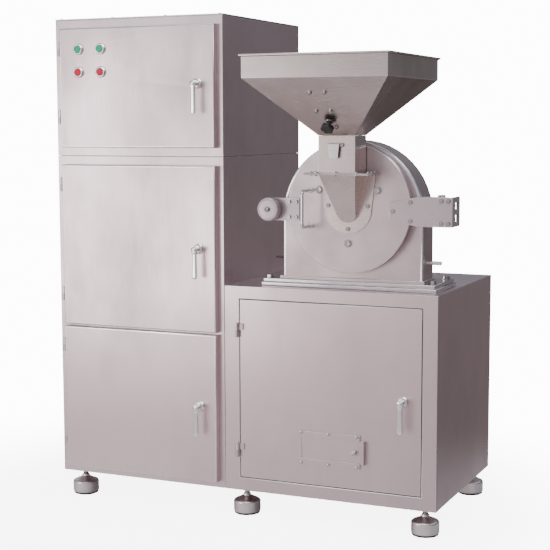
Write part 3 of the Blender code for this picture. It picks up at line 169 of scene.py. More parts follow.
def brushed(name, colour, dull, roughness, grain, cloud=2.2, depth=0.00002, anisotropic=0.3):
    """Sheet steel: fine grain along one axis, broad clouds of handling and a few darker smears."""
    made = Finish(name, colour, 1.0, roughness)
    across, along = 620.0, 7.0
    stretch = tuple(along if axis == grain else across for axis in "XYZ")
    fine = made.noise(stretch, 3.0)
    clouds = made.noise((cloud, cloud, cloud * 0.7), 4.0)
    smears = made.noise((9.0, 9.0, 3.0) if grain == "Z" else (3.0, 9.0, 9.0), 5.0, (0.2, 0.1, 0.3))
    made.tinted(made.ranged(clouds, 0.0, 0.8), dull)
    made.tinted(made.ranged(smears, 0.0, 0.16, 0.52, 0.78), tuple(c * 0.72 for c in dull))
    streaks = made.ranged(fine, -0.02, 0.025)
    made.rough(made.summed(made.summed(made.ranged(clouds, roughness - 0.04, roughness + 0.06), streaks),
                           made.ranged(smears, 0.0, 0.07, 0.5, 0.8)))
    made.bumped(fine, depth, 0.6)
    made.bumped(made.noise((3.1, 3.1, 2.3), 2.0), 0.0010, 0.2)
    made.set(Anisotropic=anisotropic)
    return made.material


def satin(name, colour, dull, roughness, depth=0.00012, grains=260.0, metallic=1.0):
    """Bead-blasted or turned steel: an even fine tooth under soft clouds, with slightly polished spots."""
    made = Finish(name, colour, metallic, roughness)
    tooth = made.noise((grains, grains, grains), 3.0)
    clouds = made.noise((7.0, 7.0, 7.0), 4.0)
    made.tinted(made.ranged(clouds, 0.0, 0.85), dull)
    cloudy = made.ranged(clouds, roughness - 0.05, roughness + 0.06)
    made.rough(made.summed(cloudy, made.ranged(tooth, -0.03, 0.04)))
    made.bumped(tooth, depth, 0.5)
    return made.material


def moulded(name, colour, roughness, tooth_depth=0.00004, coat=0.0):
    """Plastic or rubber with a fine moulding grain and faint wear."""
    made = Finish(name, colour, 0.0, roughness)
    tooth = made.noise((900.0, 900.0, 900.0), 2.0)
    wear = made.noise((40.0, 40.0, 40.0), 4.0)
    made.tinted(made.ranged(wear, 0.0, 0.35, 0.45, 0.75), tuple(min(1.0, c * 1.35 + 0.012) for c in colour))
    made.rough(made.ranged(wear, roughness - 0.05, roughness + 0.07))
    made.bumped(tooth, tooth_depth, 0.6)
    made.set(Coat_Weight=coat, Coat_Roughness=0.08)
    return made.material


def painted(name, colour, roughness, speckle=0.00009):
    """Sprayed machine paint with orange peel and grime in broad patches."""
    made = Finish(name, colour, 0.0, roughness)
    peel = made.noise((330.0, 330.0, 330.0), 2.0)
    grime = made.noise((11.0, 11.0, 11.0), 5.0)
    made.tinted(made.ranged(grime, 0.0, 0.5, 0.45, 0.75), tuple(c * 0.6 for c in colour))
    made.rough(made.ranged(grime, roughness - 0.04, roughness + 0.12))
    made.bumped(peel, speckle, 0.6)
    made.set(Coat_Weight=0.25, Coat_Roughness=0.2)
    return made.material


def cast(name, colour, roughness):
    """Cast iron: a coarse sand skin with machined-looking sheen."""
    made = Finish(name, colour, 0.75, roughness)
    sand = made.noise((420.0, 420.0, 420.0), 4.0)
    skin = made.noise((14.0, 14.0, 14.0), 4.0)
    made.tinted(made.ranged(skin, 0.0, 0.8), tuple(c * 0.6 for c in colour))
    made.rough(made.ranged(skin, roughness - 0.08, roughness + 0.1))
    made.bumped(sand, 0.0002, 0.6)
    return made.material


def cloth(name, colour):
    """Filter felt with a fibrous surface and dust settled in it."""
    made = Finish(name, colour, 0.0, 0.95)
    fibres = made.noise((700.0, 700.0, 260.0), 5.0)
    dust = made.noise((12.0, 12.0, 9.0), 4.0)
    made.tinted(made.ranged(dust, 0.0, 0.6), (0.55, 0.50, 0.43))
    made.bumped(fibres, 0.0004, 0.8)
    made.set(Sheen_Weight=0.3, Sheen_Roughness=0.6)
    return made.material


CABINET = brushed("cabinet_sheet", (0.72, 0.585, 0.60), (0.56, 0.45, 0.465), 0.33, "Z")
DOOR_SHEET = brushed("door_sheet", (0.74, 0.60, 0.615), (0.57, 0.46, 0.475), 0.34, "Z")
TOP_SHEET = brushed("cabinet_top_sheet", (0.70, 0.64, 0.65), (0.62, 0.565, 0.57), 0.34, "Y")
HOPPER_SHEET = brushed("hopper_sheet", (0.66, 0.565, 0.535), (0.44, 0.37, 0.345), 0.28, "X", 4.0,
                       anisotropic=0.2)
MILL_STEEL = satin("mill_body_satin", (0.62, 0.51, 0.515), (0.50, 0.405, 0.41), 0.38)
PLATE_STEEL = satin("base_plate_satin", (0.80, 0.76, 0.77), (0.66, 0.62, 0.63), 0.20, 0.00004)
FITTING = satin("turned_fittings", (0.78, 0.72, 0.72), (0.66, 0.60, 0.60), 0.25, 0.00004, 500.0)
BRACKET = satin("bracket_satin", (0.58, 0.49, 0.51), (0.49, 0.41, 0.43), 0.34, 0.00005, 500.0, 0.7)
BOLT_STEEL = satin("bright_fasteners", (0.66, 0.62, 0.61), (0.46, 0.42, 0.41), 0.15, 0.00003, 700.0)
POLISHED = satin("polished_chrome", (0.95, 0.94, 0.95), (0.88, 0.87, 0.88), 0.12, 0.00001, 90.0)
MACHINED = satin("machined_steel", (0.55, 0.54, 0.53), (0.42, 0.41, 0.40), 0.34, 0.00010)
IRON = cast("cast_iron_skin", (0.20, 0.205, 0.21), 0.55)
MOTOR_BLUE = painted("motor_enamel", (0.08, 0.17, 0.27), 0.38)
RELAY_GREY = moulded("switchgear_grey", (0.33, 0.34, 0.35), 0.50)
RELAY_BLACK = moulded("switchgear_black", (0.035, 0.036, 0.04), 0.45)
WIRE_RED = moulded("red_wire", (0.45, 0.03, 0.03), 0.40)
WIRE_BLUE = moulded("blue_wire", (0.03, 0.08, 0.40), 0.40)
BLACK_KNOB = moulded("black_knob", (0.022, 0.021, 0.022), 0.38, 0.00005, 0.15)
RUBBER = moulded("foot_rubber", (0.030, 0.030, 0.031), 0.75, 0.00012)
BELT_RUBBER = moulded("belt_rubber", (0.025, 0.025, 0.026), 0.65, 0.00015)
GREEN_CAP = moulded("green_cap", (0.004, 0.40, 0.19), 0.45, 0.00002)
RED_CAP = moulded("red_cap", (0.58, 0.004, 0.035), 0.45, 0.00002)
FELT = cloth("filter_felt", (0.86, 0.84, 0.79))

# what each finish turns to on eased edges and slanted faces: a brighter, smoother copy, a painted highlight
SHEET_EDGE_HIGHLIGHT = satin("sheet_edges_painted_highlight", (0.86, 0.80, 0.80), (0.76, 0.70, 0.70), 0.24, 0.00003, 500.0)
MILL_EDGE_HIGHLIGHT = satin("mill_rims_painted_highlight", (0.86, 0.81, 0.81), (0.76, 0.71, 0.71), 0.22, 0.00003, 500.0)
SHEETS = (CABINET, DOOR_SHEET, TOP_SHEET, HOPPER_SHEET, PLATE_STEEL)
PAINTED_EDGE_HIGHLIGHTS = {finish.name: SHEET_EDGE_HIGHLIGHT for finish in SHEETS}
PAINTED_EDGE_HIGHLIGHTS.update({finish.name: MILL_EDGE_HIGHLIGHT for finish in (MILL_STEEL, BRACKET, FITTING)})


# ---------------------------------------------------------------- shapes
def loft(rings, closed=False):
    """Rings of points joined in turn. The ends are capped, or the last ring joins the first."""
    bm = bmesh.new()
    rows = [[bm.verts.new(point) for point in ring] for ring in rings]
    for low, high in zip(rows, rows[1:] + rows[:1] if closed else rows[1:]):
        count = len(low)
        for i in range(count):
            j = (i + 1) % count
            bm.faces.new((low[i], low[j], high[j], high[i]))
    if not closed:
        bm.faces.new(rows[0])
        bm.faces.new(rows[-1])
    bmesh.ops.recalc_face_normals(bm, faces=bm.faces)
    return bm


def turn_to(facing):
    """The turn that takes upright to a facing."""
    return UP.rotation_difference(Vector(facing))


def turned(profile, centre, facing=UP, sides=40, lobes=0, swell=0.0, closed=False, spin=0.0):
    """A lathe shape from (radius, distance along facing) points, its radius swelling on lobes if asked."""
    turn = turn_to(facing)
    rings = []
    for radius, along in profile:
        ring = []
        for i in range(sides):
            angle = 2 * math.pi * i / sides + spin
            r = radius * (1 + swell * math.cos(lobes * angle))
            ring.append(centre + turn @ Vector((r * math.cos(angle), r * math.sin(angle), along)))
        rings.append(ring)
    return loft(rings, closed)


def block(low, high, ease=0.0):
    """A box between two corners with its edges eased."""
    bm = bmesh.new()
    bmesh.ops.create_cube(bm, size=1.0)
    low, high = Vector(low), Vector(high)
    size = Matrix.Diagonal((*(high - low), 1.0))
    bmesh.ops.transform(bm, matrix=Matrix.Translation((low + high) / 2) @ size, verts=bm.verts)
    if ease:
        bmesh.ops.bevel(bm, geom=bm.edges[:], offset=ease, segments=2, profile=0.5, affect="EDGES")
    bmesh.ops.recalc_face_normals(bm, faces=bm.faces)
    return bm


def tube(points, radius, sides=12):
    """A round bar through points, its rings kept from twisting."""
    path = [Vector(p) for p in points]
    heading = (path[1] - path[0]).normalized()
    side = heading.orthogonal().normalized()
    rings = []
    for i, point in enumerate(path):
        ahead = (path[min(i + 1, len(path) - 1)] - path[max(i - 1, 0)]).normalized()
        side = (heading.rotation_difference(ahead) @ side).normalized()
        heading = ahead
        up = ahead.cross(side)
        angles = [2 * math.pi * k / sides for k in range(sides)]
        rings.append([point + radius * (side * math.cos(a) + up * math.sin(a)) for a in angles])
    return loft(rings)


def piece(name, body, parts, replaces=()):
    """One visible piece from (shape, finish) parts, shaded by angle, riding on body."""
    mesh = bpy.data.meshes.new(name)
    whole = bmesh.new()
    finishes = []
    for shape, finish in parts:
        main, edge = finish if isinstance(finish, tuple) else (finish, finish)
        for used in (main, edge):
            if used not in finishes:
                finishes.append(used)
        for face in shape.faces:
            face.material_index = finishes.index(edge if face.material_index else main)
        part = bpy.data.meshes.new("part")
        shape.to_mesh(part)
        shape.free()
        whole.from_mesh(part)
        bpy.data.meshes.remove(part)
    whole.to_mesh(mesh)
    whole.free()
    for finish in finishes:
        mesh.materials.append(finish)
    return shown(name, mesh, body, replaces)


def shown(name, mesh, body, replaces=()):
    """The mesh as a piece riding on body, shaded so that large faces stay flat beside their eased edges."""
    mesh.shade_smooth()
    mesh.set_sharp_from_angle(angle=SHARP)
    made = bpy.data.objects.new(name, mesh)
    bpy.context.scene.collection.objects.link(made)
    weigh = made.modifiers.new("weigh", "WEIGHTED_NORMAL")
    weigh.keep_sharp = True
    weigh.weight = 100
    graph = bpy.context.evaluated_depsgraph_get()
    made.data = bpy.data.meshes.new_from_object(made.evaluated_get(graph), depsgraph=graph)
    made.modifiers.clear()
    made.data.name = name
    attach(made, body)
    if replaces:
        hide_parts(*replaces)
    return made


def eased(node, finish, ease=0.0008, least=0.018, extra=(), slanted=False):
    """A merged copy of a CAD node, standing for it, with its long sharp edges rounded and given a painted
    highlight.

    With slanted, faces that lean away from the front get the painted highlight as well.
    """
    bm = bmesh.new()
    bm.from_mesh(NODES[node].data)
    bmesh.ops.remove_doubles(bm, verts=bm.verts, dist=2e-6)
    bmesh.ops.dissolve_limit(bm, angle_limit=math.radians(0.4), verts=bm.verts, edges=bm.edges)
    if ease:
        sharp = [e for e in bm.edges if len(e.link_faces) == 2 and e.calc_length() > least
                 and e.calc_face_angle() > EASED_ABOVE]
        # the bevel faces take material 1, the brighter copy that is a painted highlight
        bmesh.ops.bevel(bm, geom=sharp, offset=ease, segments=2, profile=0.5, affect="EDGES",
                        clamp_overlap=False, material=1)
        bmesh.ops.remove_doubles(bm, verts=bm.verts, dist=2e-6)
    # with slanted, faces leaning away from the front take the painted highlight too
    for face in bm.faces if slanted else ():
        if 0.2 < -face.normal.y < 0.97:
            face.material_index = 1
    highlit = PAINTED_EDGE_HIGHLIGHTS.get(finish.name, finish)
    return piece(f"{node}_finished", BODY[node], [(bm, (finish, highlit)), *extra], (node,))


# ---------------------------------------------------------------- trees for what repeats
class Tree:
    """A Geometry Nodes tree under construction, with named inputs."""

    def __init__(self, name, **inputs):
        self.tree = bpy.data.node_groups.new(name, "GeometryNodeTree")
        sockets = self.tree.interface
        sockets.new_socket("Geometry", in_out="INPUT", socket_type="NodeSocketGeometry")
        self.sockets = {}
        for label, kind in inputs.items():
            label = label.replace("_", " ")
            made = sockets.new_socket(label, in_out="INPUT", socket_type=f"NodeSocket{kind}")
            self.sockets[label] = made.identifier
        sockets.new_socket("Geometry", in_out="OUTPUT", socket_type="NodeSocketGeometry")
        self.given = self.tree.nodes.new("NodeGroupInput").outputs
        self.result = self.tree.nodes.new("NodeGroupOutput").inputs["Geometry"]

    def node(self, kind, inputs=(), **settings):
        """The outputs of a new node in the tree."""
        return wired(self.tree, kind, inputs, **settings).outputs

    def maths(self, operation, one, other):
        """One sum on two values."""
        return self.node("ShaderNodeMath", {0: one, 1: other}, operation=operation)["Value"]

    def vector(self, **parts):
        """A vector from any of its X, Y and Z."""
        return self.node("ShaderNodeCombineXYZ", parts)["Vector"]

    def raised(self, shape, height):
        """A shape moved up by height."""
        moved = {"Geometry": shape, "Translation": self.vector(Z=height)}
        return self.node("GeometryNodeTransform", moved)["Geometry"]

    def placed(self, points, shape, turn):
        """A copy of a shape on each point."""
        copies = {"Points": points, "Instance": shape, "Rotation": turn}
        return self.node("GeometryNodeInstanceOnPoints", copies)["Instances"]

    def merged(self, shape, distance):
        """A shape with its doubled points made one."""
        doubles = {"Geometry": shape, "Distance": distance}
        return self.node("GeometryNodeMergeByDistance", doubles)["Geometry"]

    def joined(self, *shapes):
        """Shapes as one geometry, in their order."""
        outputs = self.tree.nodes.new("GeometryNodeJoinGeometry")
        for shape in reversed(shapes):
            self.tree.links.new(shape, outputs.inputs["Geometry"])
        return outputs.outputs["Geometry"]

    def close(self, shape):
        """Ends the tree: instances made real, then the finish set."""
        real = self.node("GeometryNodeRealizeInstances", {"Geometry": shape})["Geometry"]
        finished = {"Geometry": real, "Material": self.given["Material"]}
        coloured = self.node("GeometryNodeSetMaterial", finished)["Geometry"]
        self.tree.links.new(coloured, self.result)
        return self

    def grown(self, name, body, mesh, place=None, **values):
        """The tree's result on a mesh as one plain piece riding on body."""
        holder = bpy.data.objects.new(f"{name}_points", mesh)
        bpy.context.scene.collection.objects.link(holder)
        modifier = holder.modifiers.new("tree", "NODES")
        modifier.node_group = self.tree
        for label, value in values.items():
            modifier[self.sockets[label.replace("_", " ")]] = value
        graph = bpy.context.evaluated_depsgraph_get()
        grown = bpy.data.meshes.new_from_object(holder.evaluated_get(graph), depsgraph=graph)
        bpy.data.objects.remove(holder)
        if place:
            grown.transform(place)
        grown.name = name
        return shown(name, grown, body)


def fastener_tree():
    """A screw or bolt head on every point, standing along the point's facing."""
    t = Tree("fastener_heads", Head_radius="Float", Head_height="Float", Sides="Int", Chamfer="Float",
             Recess="Float", Recess_depth="Float", Washer_radius="Float", Washer_height="Float",
             Material="Material")
    given = t.given
    outline = {"Vertices": given["Sides"], "Radius": given["Head radius"]}
    base = t.node("GeometryNodeMeshCircle", outline, fill_type="NGON")["Mesh"]
    floor = t.node("GeometryNodeFlipFaces", {"Mesh": base})["Mesh"]
    straight = t.maths("MULTIPLY", given["Head height"], 0.75)
    cap = t.maths("MULTIPLY", given["Head height"], 0.25)
    sunk = t.maths("MULTIPLY", given["Recess depth"], -1.0)
    shape, top = base, None
    for height, scale in ((straight, None), (cap, given["Chamfer"]), (0.0, given["Recess"]), (sunk, 0.9)):
        inputs = {"Mesh": shape, "Offset Scale": height, "Individual": False}
        if top:
            inputs["Selection"] = top
        out = t.node("GeometryNodeExtrudeMesh", inputs, mode="FACES")
        shape, top = out["Mesh"], out["Top"]
        if scale is not None:
            narrowed = {"Geometry": shape, "Selection": top, "Scale": scale}
            shape = t.node("GeometryNodeScaleElements", narrowed)["Geometry"]
    head = t.merged(t.joined(shape, floor), 0.000005)
    disc = {"Vertices": 20, "Radius": given["Washer radius"], "Depth": given["Washer height"]}
    washer = t.node("GeometryNodeMeshCylinder", disc)["Mesh"]
    whole = t.joined(t.raised(head, given["Washer height"]),
                     t.raised(washer, t.maths("MULTIPLY", given["Washer height"], 0.5)))
    named = t.node("GeometryNodeInputNamedAttribute", {"Name": "facing"}, data_type="FLOAT_VECTOR")
    facing = {"Vector": named["Attribute"]}
    turn = t.node("FunctionNodeAlignRotationToVector", facing, axis="Z")["Rotation"]
    return t.close(t.placed(given["Geometry"], whole, turn))


FASTENERS = fastener_tree()
HEAD_SIZES = ("Head_radius", "Head_height", "Sides", "Chamfer", "Recess", "Recess_depth", "Washer_radius",
              "Washer_height")
KINDS = {
    "hex_large": (0.0110, 0.0090, 6, 0.88, 0.70, 0.0003, 0.0130, 0.0018),
    "hex": (0.0080, 0.0058, 6, 0.88, 0.70, 0.0003, 0.0098, 0.0014),
    "hex_small": (0.0058, 0.0042, 6, 0.88, 0.70, 0.0002, 0.0074, 0.0010),
    "hex_tiny": (0.0050, 0.0030, 6, 0.88, 0.70, 0.0002, 0.0060, 0.0006),
    "socket": (0.0062, 0.0062, 18, 0.88, 0.62, 0.0030, 0.0076, 0.0008),
    "pan": (0.0050, 0.0034, 16, 0.72, 0.42, 0.0014, 0.0056, 0.0004),
}


def fasteners(name, body, kind, places, finish=BOLT_STEEL):
    """Heads at (point, facing) places. Each is sunk a little so that no gap shows under it."""
    mesh = bpy.data.meshes.new(f"{name}_points")
    sink = 0.0002
    mesh.from_pydata([point - facing.normalized() * sink for point, facing in places], [], [])
    attribute = mesh.attributes.new("facing", "FLOAT_VECTOR", "POINT")
    attribute.data.foreach_set("vector", [c for _, facing in places for c in facing])
    return FASTENERS.grown(name, body, mesh, Material=finish, **dict(zip(HEAD_SIZES, KINDS[kind])))


def louvre_tree():
    """A ladder of sloping blades, one above another."""
    t = Tree("louvre_blades", Count="Int", Pitch="Float", Length="Float", Depth="Float", Thickness="Float",
             Tilt="Float", Material="Material")
    given = t.given
    climb = {"Count": given["Count"], "Offset": t.vector(Z=given["Pitch"])}
    line = t.node("GeometryNodeMeshLine", climb, mode="OFFSET")["Mesh"]
    size = t.vector(X=given["Length"], Y=given["Thickness"], Z=given["Depth"])
    blade = t.node("GeometryNodeMeshCube", {"Size": size})["Mesh"]
    return t.close(t.placed(line, blade, t.vector(X=given["Tilt"])))


def fin_tree():
    """Fins standing out all round an axis along Z."""
    t = Tree("cooling_fins", Count="Int", Radius="Float", Height="Float", Length="Float", Thickness="Float",
             Material="Material")
    given = t.given
    ring = t.node("GeometryNodeMeshCircle", {"Vertices": given["Count"], "Radius": given["Radius"]})["Mesh"]
    size = t.vector(X=given["Height"], Y=given["Thickness"], Z=given["Length"])
    fin = t.node("GeometryNodeMeshCube", {"Size": size})["Mesh"]
    outward = {"Vector": t.node("GeometryNodeInputPosition")["Position"]}
    turn = t.node("FunctionNodeAlignRotationToVector", outward, axis="X", pivot_axis="Z")["Rotation"]
    return t.close(t.placed(ring, fin, turn))


def screen_tree():
    """A sheet of square cells, each with a square hole, rolled into a drum about Z."""
    t = Tree("perforated_drum", Around="Int", Along="Int", Radius="Float", Width="Float", Hole="Float",
             Material="Material")
    given = t.given
    rows = t.maths("ADD", given["Along"], 1)
    columns = t.maths("ADD", given["Around"], 1)
    grid = t.node("GeometryNodeMeshGrid", {"Size X": 1.0, "Size Y": given["Width"], "Vertices X": columns,
                                           "Vertices Y": rows})["Mesh"]
    cells = {"Mesh": grid, "Offset Scale": 0.0, "Individual": True}
    inner = t.node("GeometryNodeExtrudeMesh", cells, mode="FACES")
    sized = t.node("GeometryNodeScaleElements", {"Geometry": inner["Mesh"], "Selection": inner["Top"],
                                                 "Scale": given["Hole"]})["Geometry"]
    holed = t.node("GeometryNodeDeleteGeometry", {"Geometry": sized, "Selection": inner["Top"]},
                   domain="FACE")["Geometry"]
    spot = t.node("GeometryNodeInputPosition")["Position"]
    flat = t.node("ShaderNodeSeparateXYZ", {"Vector": spot})
    angle = t.maths("MULTIPLY", flat["X"], 2 * math.pi)
    x = t.maths("MULTIPLY", t.maths("COSINE", angle, 0.0), given["Radius"])
    y = t.maths("MULTIPLY", t.maths("SINE", angle, 0.0), given["Radius"])
    place = t.vector(X=x, Y=y, Z=flat["Y"])
    rolled = t.node("GeometryNodeSetPosition", {"Geometry": holed, "Position": place})["Geometry"]
    return t.close(t.merged(rolled, 0.00005))


LOUVRES = louvre_tree()
FINS = fin_tree()
DRUM = screen_tree()


# ---------------------------------------------------------------- cabinets
def cabinets():
    """The cabinets' sheets, doors, drawers and seals."""
    for node in ("tall_lower_shell", "tall_upper_shell", "mill_cabinet_shell"):
        eased(node, CABINET, 0.0016, 0.05)
    eased("top_cover", TOP_SHEET, 0.0008, 0.05)
    eased("rear_panel", DOOR_SHEET, 0.0005, 0.05)
    for node in ("upper_door", "middle_door", "lower_door", "mill_cabinet_door"):
        eased(node, DOOR_SHEET, 0.0005, 0.08, slanted=True)
    for node in ("dust_drawer", "collecting_bin"):
        low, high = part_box(node)
        rim = rim_loop(low.x, high.x, low.y, high.y, high.z)
        eased(node, CABINET, 0.0, extra=((rim, CABINET), (drawer_pull(low, high), FITTING)))
    rear_details()
    gaskets()
    opening_seal_and_gap_shade()


def rim_loop(x0, x1, y0, y1, z):
    """The rolled rim round the top of an open box."""
    radius = 0.0035
    corners = [(x0, y0), (x1, y0), (x1, y1), (x0, y1)]
    rings = []
    for i, (x, y) in enumerate(corners):
        inward = Vector(((1, -1, -1, 1)[i], (1, 1, -1, -1)[i], 0))
        centre = Vector((x, y, z)) + inward * radius
        angles = [2 * math.pi * k / 10 for k in range(10)]
        rings.append([centre + inward * radius * math.cos(a) * 0.95 + UP * radius * math.sin(a) * 0.95
                      for a in angles])
    return loft(rings, closed=True)


def drawer_pull(low, high):
    """A bow handle on the front of an open box."""
    x, z = (low.x + high.x) / 2, high.z - 0.060
    reach, half = 0.010, 0.055
    bend = 0.004
    front = low.y - reach
    leg = [(-half, low.y + 0.001), (-half, front + bend), (-half + bend, front)]
    path = [(x + side, y, z) for side, y in leg] + [(x - side, y, z) for side, y in reversed(leg)]
    return tube(path, 0.003, 10)


def gaskets():
    """A black seal round the back of each of the tall cabinet's doors."""
    door_left, door_right, inset, wide, thick = 0.0285, 0.6075, 0.012, 0.007, 0.006
    x0, x1 = at(door_left + inset, 0, 0).x, at(door_right - inset, 0, 0).x
    for node in ("upper_door", "middle_door", "lower_door"):
        low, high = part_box(node)
        seal = frame_loop(x0, x1, low.z + inset, high.z - inset, high.y - thick, high.y, wide)
        piece(f"{node}_seal", BODY[node], [(seal, RUBBER)])


def opening_seal_and_gap_shade():
    """The dark rubber strip behind the sheet, seen through the gap round the flush door; it is a seal and
    also stands in as painted shade in that gap.
    """
    low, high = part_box("mill_cabinet_door")
    outside, wide, thick, door_left, forward = 0.007, 0.006, 0.004, 0.6841, 0.0165
    front = high.y - forward
    seal = frame_loop(at(door_left - outside, 0, 0).x, high.x + outside, low.z - outside, high.z + outside,
                      front, front + thick, wide)
    piece("mill_door_seal_and_gap_shade", ROOT, [(seal, RUBBER)])


def frame_loop(x0, x1, z0, z1, y0, y1, wide):
    """A rectangular frame of one section, standing in the XZ plane."""
    section = [(0, y0), (wide, y0), (wide, y1), (0, y1)]
    rings = []
    for x, z, dx, dz in ((x0, z0, 1, 1), (x1, z0, -1, 1), (x1, z1, -1, -1), (x0, z1, 1, -1)):
        rings.append([Vector((x + dx * inset, y, z + dz * inset)) for inset, y in section])
    return loft(rings, closed=True)


def rear_details():
    """Blades in the rear vents and the screws round the rear panel and the belt guard."""
    vent_middle, vent_back, lowest, pitch = 0.314, 0.626, 1.111, 0.025
    for row in range(3):
        place = Matrix.Translation(at(vent_middle, vent_back, lowest + pitch * row))
        LOUVRES.grown(f"outlet_blade_{row + 1}", ROOT, bpy.data.meshes.new("blade"), place, Count=1,
                      Pitch=0.01, Length=0.384, Depth=0.013, Thickness=0.001, Tilt=math.radians(-40),
                      Material=CABINET)
    low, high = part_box("rear_panel")
    edge, sunk = 0.012, 0.0022
    columns = (low.x + edge, (low.x + high.x) / 2, high.x - edge)
    rows = (low.z + edge, (low.z + high.z) / 2, high.z - edge)
    screws = [(Vector((x, high.y - sunk, z)), REAR) for x in columns for z in rows
              if (x, z) != (columns[1], rows[1])]
    low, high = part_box("belt_guard")
    for x in (low.x, high.x):
        facing = LEFT if x == low.x else RIGHT
        for z in (low.z + 0.05, low.z + 0.15, low.z + 0.24):
            screws.append((Vector((x, (low.y + high.y) / 2, z)), facing))
    fasteners("rear_screws", ROOT, "pan", screws)


# ---------------------------------------------------------------- door furniture
BLADE_SPREAD = 1.18
# distance below the pivot, half width before the spread, half thickness and lean outwards
BLADE_STATIONS = (
    (-0.0095, 0.0030, 0.0022, 0.0), (-0.0085, 0.0062, 0.0034, 0.0), (-0.0050, 0.0090, 0.0040, 0.0),
    (0.0, 0.0102, 0.0042, 0.0), (0.0060, 0.0095, 0.0042, 0.0), (0.0120, 0.0074, 0.0040, 0.0004),
    (0.0200, 0.0062, 0.0038, 0.0008), (0.0380, 0.0064, 0.0037, 0.0008), (0.0600, 0.0070, 0.0035, 0.0003),
    (0.0800, 0.0076, 0.0032, -0.0002), (0.0900, 0.0074, 0.0030, -0.0005),
    (0.0945, 0.0056, 0.0024, -0.0006), (0.0962, 0.0028, 0.0014, -0.0006),
)
LEVER_NODES = ("upper_door_lever", "middle_door_lever", "lower_door_lever", "mill_door_lever")


def lever_locks():
    """Hanging chrome levers, each on a spindle out of a domed rosette."""
    for node in LEVER_NODES:
        joint = next(joint for joint in JOINTS.values() if joint["child"] == node)
        pivot = Vector(joint["pos_m"])
        door = joint["parent"]
        low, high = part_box(node)
        face = pivot.y
        seat = [(0.0172, -0.001), (0.0176, 0.0012), (0.0172, 0.0042), (0.0150, 0.0072), (0.0112, 0.0088),
                (0.0095, 0.0092)]
        piece(f"{node}_rosette", door, [(turned(seat, pivot, FRONT, 40), POLISHED)])
        blade_back = low.y + 0.0085
        collar = [(0.0078, 0.0096), (0.0085, 0.014), (0.0070, 0.018), (0.0070, face - blade_back - 0.004),
                  (0.0092, face - blade_back)]
        stations = []
        for down, wide, thick, lean in BLADE_STATIONS:
            centre = Vector((pivot.x, low.y + 0.0045 + lean, pivot.z - down))
            ring = []
            for k in range(16):
                angle = 2 * math.pi * k / 16
                c, s = math.cos(angle), math.sin(angle)
                ring.append(centre + Vector((math.copysign(abs(c) ** 0.8, c) * wide * BLADE_SPREAD,
                                             math.copysign(abs(s) ** 0.8, s) * thick, 0)))
            stations.append(ring)
        cap = [(0.0070, -0.001), (0.0068, 0.0010), (0.0050, 0.0024), (0.0020, 0.0031)]
        front = Vector((pivot.x, low.y + 0.0008, pivot.z))
        tongue_top = block((pivot.x - 0.007, high.y - 0.0036, pivot.z - 0.007),
                           (high.x, high.y - 0.0002, pivot.z + 0.007), 0.0006)
        spindle = turned([(0.0055, -(high.y - face) + 0.003), (0.0055, 0.010)], pivot, FRONT, 16)
        piece(f"{node}_blade", node, [
            (loft(stations), POLISHED), (turned(collar, pivot, FRONT, 28), POLISHED),
            (turned(cap, front, FRONT, 24), POLISHED), (spindle, FITTING), (tongue_top, FITTING),
        ], (node,))


def push_buttons():
    """Coloured dished caps in bright bezel rings."""
    for joint in JOINTS.values():
        node = joint["child"]
        if "button" not in node:
            continue
        low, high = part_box(node)
        centre = Vector(((low.x + high.x) / 2, low.y, (low.z + high.z) / 2))
        colour = GREEN_CAP if node.startswith("green") else RED_CAP
        cap = [(0.0048, -0.0270), (0.0048, -0.020), (0.0118, -0.019), (0.0119, -0.0012), (0.0113, -0.0003),
               (0.0104, 0.0), (0.0094, -0.0006), (0.0060, -0.0013), (0.0012, -0.0016)]
        piece(f"{node}_cap", node, [(turned(cap, centre, FRONT, 36), colour)], (node,))
        face = Vector((centre.x, centre.y + 0.0095, centre.z))
        ring = [(0.0188, -0.0005), (0.0190, 0.0030), (0.0182, 0.0062), (0.0166, 0.0082), (0.0148, 0.0088),
                (0.0134, 0.0082), (0.0127, 0.0066), (0.0127, -0.0005)]
        piece(f"{node}_bezel", "upper_door", [(turned(ring, face, FRONT, 44, closed=True), POLISHED)])


def hatch():
    """The sliding hatch with its guide rails and knob."""
    low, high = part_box("hatch_frame")
    eased("hatch_frame", DOOR_SHEET, 0.0009, 0.02)
    knob = Vector((high.x - 0.018, low.y + 0.0030, (low.z + high.z) / 2 - 0.001))
    profile = [(0.0036, -0.002), (0.0036, 0.0055), (0.0078, 0.0062), (0.0084, 0.0085), (0.0078, 0.0120),
               (0.0050, 0.0134), (0.0015, 0.0137)]
    eased("hatch_slide", DOOR_SHEET, 0.0003, 0.02, extra=((turned(profile, knob, FRONT, 28), FITTING),))
    y = low.y
    screws = []
    for z in (low.z + 0.0055, high.z - 0.0055):
        for share in (0.06, 0.50, 0.955):
            screws.append((Vector((low.x + (high.x - low.x) * share, y, z)), FRONT))
    fasteners("hatch_screws", "mill_cabinet_door", "pan", screws)


